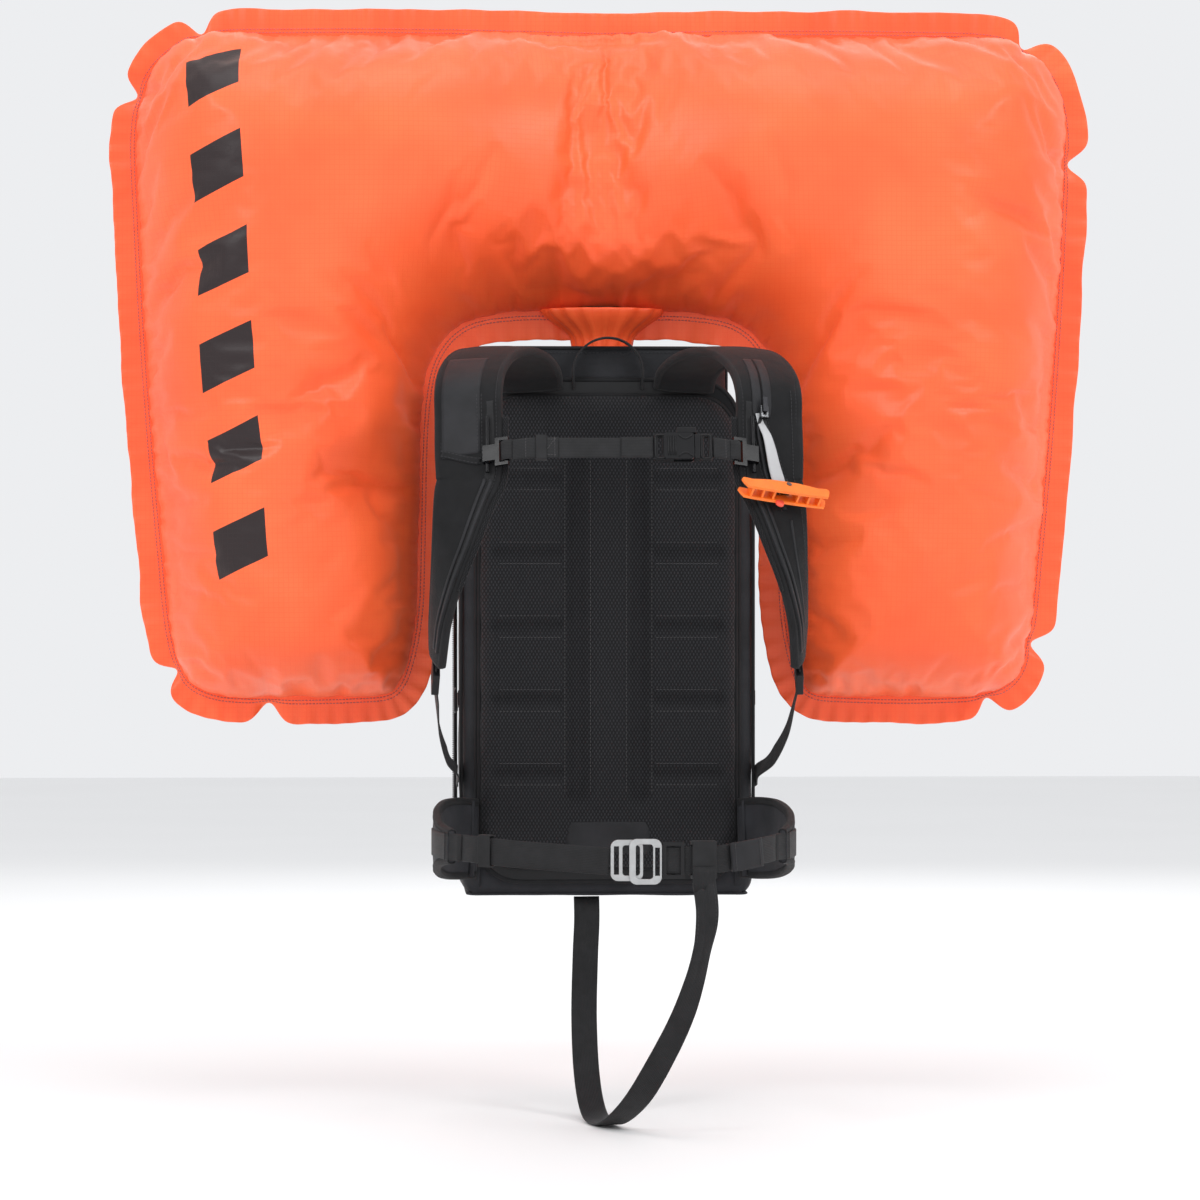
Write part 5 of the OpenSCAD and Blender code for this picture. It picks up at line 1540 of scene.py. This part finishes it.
def pocket():
    outline = rounded_outline(227, 319, 34, 0, -90, 4.5)

    def rim(p):
        sides = np.minimum(113.5 - np.abs(p[:, 0]), p[:, 1] + 249.5)
        corner = np.hypot(np.maximum(np.abs(p[:, 0]) - 79.5, 0), np.maximum(-(p[:, 1] + 215.5), 0))
        top_corner = np.hypot(np.maximum(np.abs(p[:, 0]) - 79.5, 0), np.maximum(p[:, 1] - 35.5, 0))
        return np.clip(np.minimum(sides, 34 - np.maximum(corner, np.where(np.abs(p[:, 0]) > 79.5, top_corner, 0))),
            0, None)

    def skin(p, d):
        e = np.clip(rim(p) / 24, 0, 1)
        dome = np.sqrt(1 - (1 - e) ** 2)
        slack = 2.4 * cloud(p, 62, 11) + 1.0 * cloud(p, 21, 12)
        hem = 2.5 * smoothstep(p[:, 1], 46, 70)
        return 209.6 + dome * (21.5 - hem + np.minimum(slack, 1.6) * smoothstep(e, 0.2, 0.9))

    cloth_patch("gear_pocket_cloth", outline, skin, lambda p, d: skin(p, d) - 1.7, "pack_cloth",
        "rear_flap", pitch=5.5, node="gear_pocket")
    xs = np.linspace(-103, 103, 60)
    top = np.stack([xs, np.zeros(60), np.zeros(60)], 1)
    top[:, 2] = np.where(np.abs(xs) > 80, 35 + np.sqrt(np.maximum(34 ** 2 - (np.abs(xs) - 79.5) ** 2, 0)), 69.2)
    top[:, 1] = skin(top[:, [0, 2]], None) - 0.9
    bead("pocket_hem", top, 2.3, "binding_tape", "rear_flap", closed=False)
    xs = np.linspace(-96, 96, 70)
    low = np.stack([xs, np.zeros(70), np.full(70, 61.0)], 1)
    low[:, 1] = skin(low[:, [0, 2]], None) + 0.15
    up = np.tile([0, 1.0, 0.1], (70, 1))
    chain = []
    for x in (-40, 40):
        z = np.linspace(54, -236, 90)
        y = skin(np.stack([np.full(90, x), z], 1), None) + 0.9 + 1.3 * np.abs(np.sin((z - 54) * math.pi / 48))
        tape("daisy_chain_" + SIDE[np.sign(x)], np.stack([np.full(90, x), y, z], 1), 15.0, 1.3, "webbing",
            "rear_flap", (0, 1, 0))
        for k in range(7):
            zc = 54 - 48 * k
            across = np.linspace(x - 6.4, x + 6.4, 6)
            yb = float(skin(np.array([[x, zc]]), None)[0]) + 1.75
            chain.append((np.stack([across, np.full(6, yb), np.full(6, zc)], 1), np.tile([0, 1.0, 0], (6, 1))))
    threads("pocket_stitches_rear", [(low, up)] + chain, "rear_flap", "thread_grey", 2.2, 3.0, 0.3,
        slot="pack_fabric")
    moulded("flap_sliders", "zip_metal", 0.7)


rear_flap()

# ---------- inflator ----------


def inflator():
    moulded("inflator_body", "satin_plastic", 1.6, 3)
    moulded("intake_grille", "dark_metal", 0.5)
    moulded("port_collar", "satin_plastic", 0.8)
    moulded("gauge_case", "brushed_alloy", 0.6)
    moulded("release_lever", "red_plastic", 0.9, 3)
    moulded("deflate_button", "red_plastic", 0.8, 3)
    moulded("cartridge_strap", "webbing", 0.6)
    moulded("gauge_needle", "red_plastic", 0.15)
    for node, finish in (("piercing_pin", "steel"), ("cartridge", "cartridge_paint"), ("release_cable",
            "glossy_plastic")):
        recolour(node, finish)
        mesh = frame["nodes"][node].data
        mesh.polygons.foreach_set("use_smooth", [True] * len(mesh.polygons))
    gauge = np.array([30.0, 69.0, 186.0])
    ahead = turn("x", 90)
    lathe("gauge_dial", [(0.0, -3.6), (10.2, -3.6), (10.2, -3.95), (0.0, -4.0)], "dial_face", "pack", ahead, gauge)
    marks = []
    for k in range(11):
        a = math.radians(225 - 27 * k)
        inner, outer = (7.2, 9.4) if k % 5 == 0 else (8.0, 9.4)
        marks.append((np.array([(30 + r * math.cos(a), 72.5, 186 + r * math.sin(a)) for r in (inner, outer)]),
            np.array([(0, -1.0, 0)] * 2)))
    threads("gauge_marks", marks, "pack", "black_plastic", 1.4, 1.2, 0.22)
    band = [(30.9, 0), (31.2, 0.4), (31.2, 6.6), (30.9, 7.0), (30.2, 7.0), (30.2, 0)]
    lathe("cartridge_band", [(r, z + 96) for r, z in band], "brushed_alloy", "gas_cartridge", np.eye(3),
        (-66, 78, 0), 48, closed=True)


inflator()


def airbag_neck():
    """The airbag's pleated neck, clamped round the inflator's port."""
    zs = np.linspace(240, 292, 26)
    sides, verts, uv = 84, [], []
    for z in zs:
        t = (z - 240) / 52
        grip = math.exp(-((z - 250) / 5.5) ** 2)
        for k in range(sides):
            a = 2 * math.pi * k / sides
            pleat = 1.5 * math.cos(17 * a + 0.6 * math.sin(3 * a)) * (1 - 0.75 * grip) * min(1, t * 3 + 0.3)
            r = 30.6 + 15 * smoothstep(t, 0.35, 1.0) - 1.2 * grip + pleat
            verts.append((r * math.cos(a) * (1 + 0.35 * smoothstep(t, 0.4, 1)), 150 + r * math.sin(a), z))
            uv.append((a * 0.03, z * MM))
    neck = mesh_piece("airbag_neck", verts, tube_faces(len(zs), sides, False), "airbag_cloth", "pack", uv)
    neck.modifiers.new("wall", "SOLIDIFY").thickness = 0.8 * MM
    clamp = [(30.2, -3.2), (31.3, -3.0), (31.3, 3.0), (30.2, 3.2), (29.6, 3.2), (29.6, -3.2)]
    lathe("neck_clamp", clamp, "brushed_alloy", "pack", np.eye(3), (0, 150, 250), 60, closed=True)


airbag_neck()
airbag()

# ---------- floor ----------

low = CAD_BOX[0][2] - 0.0006
floor_finish = Finish("pale_floor", (0.86, 0.86, 0.86), 0.7)
floor_finish.tint(floor_finish.noise(600, 2), 0.985, 1.0)


def floor():
    """A plain pale floor under the leg strap."""
    verts = [(x, y, low / MM) for x, y in ((-9000, -9000), (9000, -9000), (9000, 9000), (-9000, 9000))]
    mesh_piece("floor", verts, [(0, 1, 2, 3)], "pale_floor")


floor()
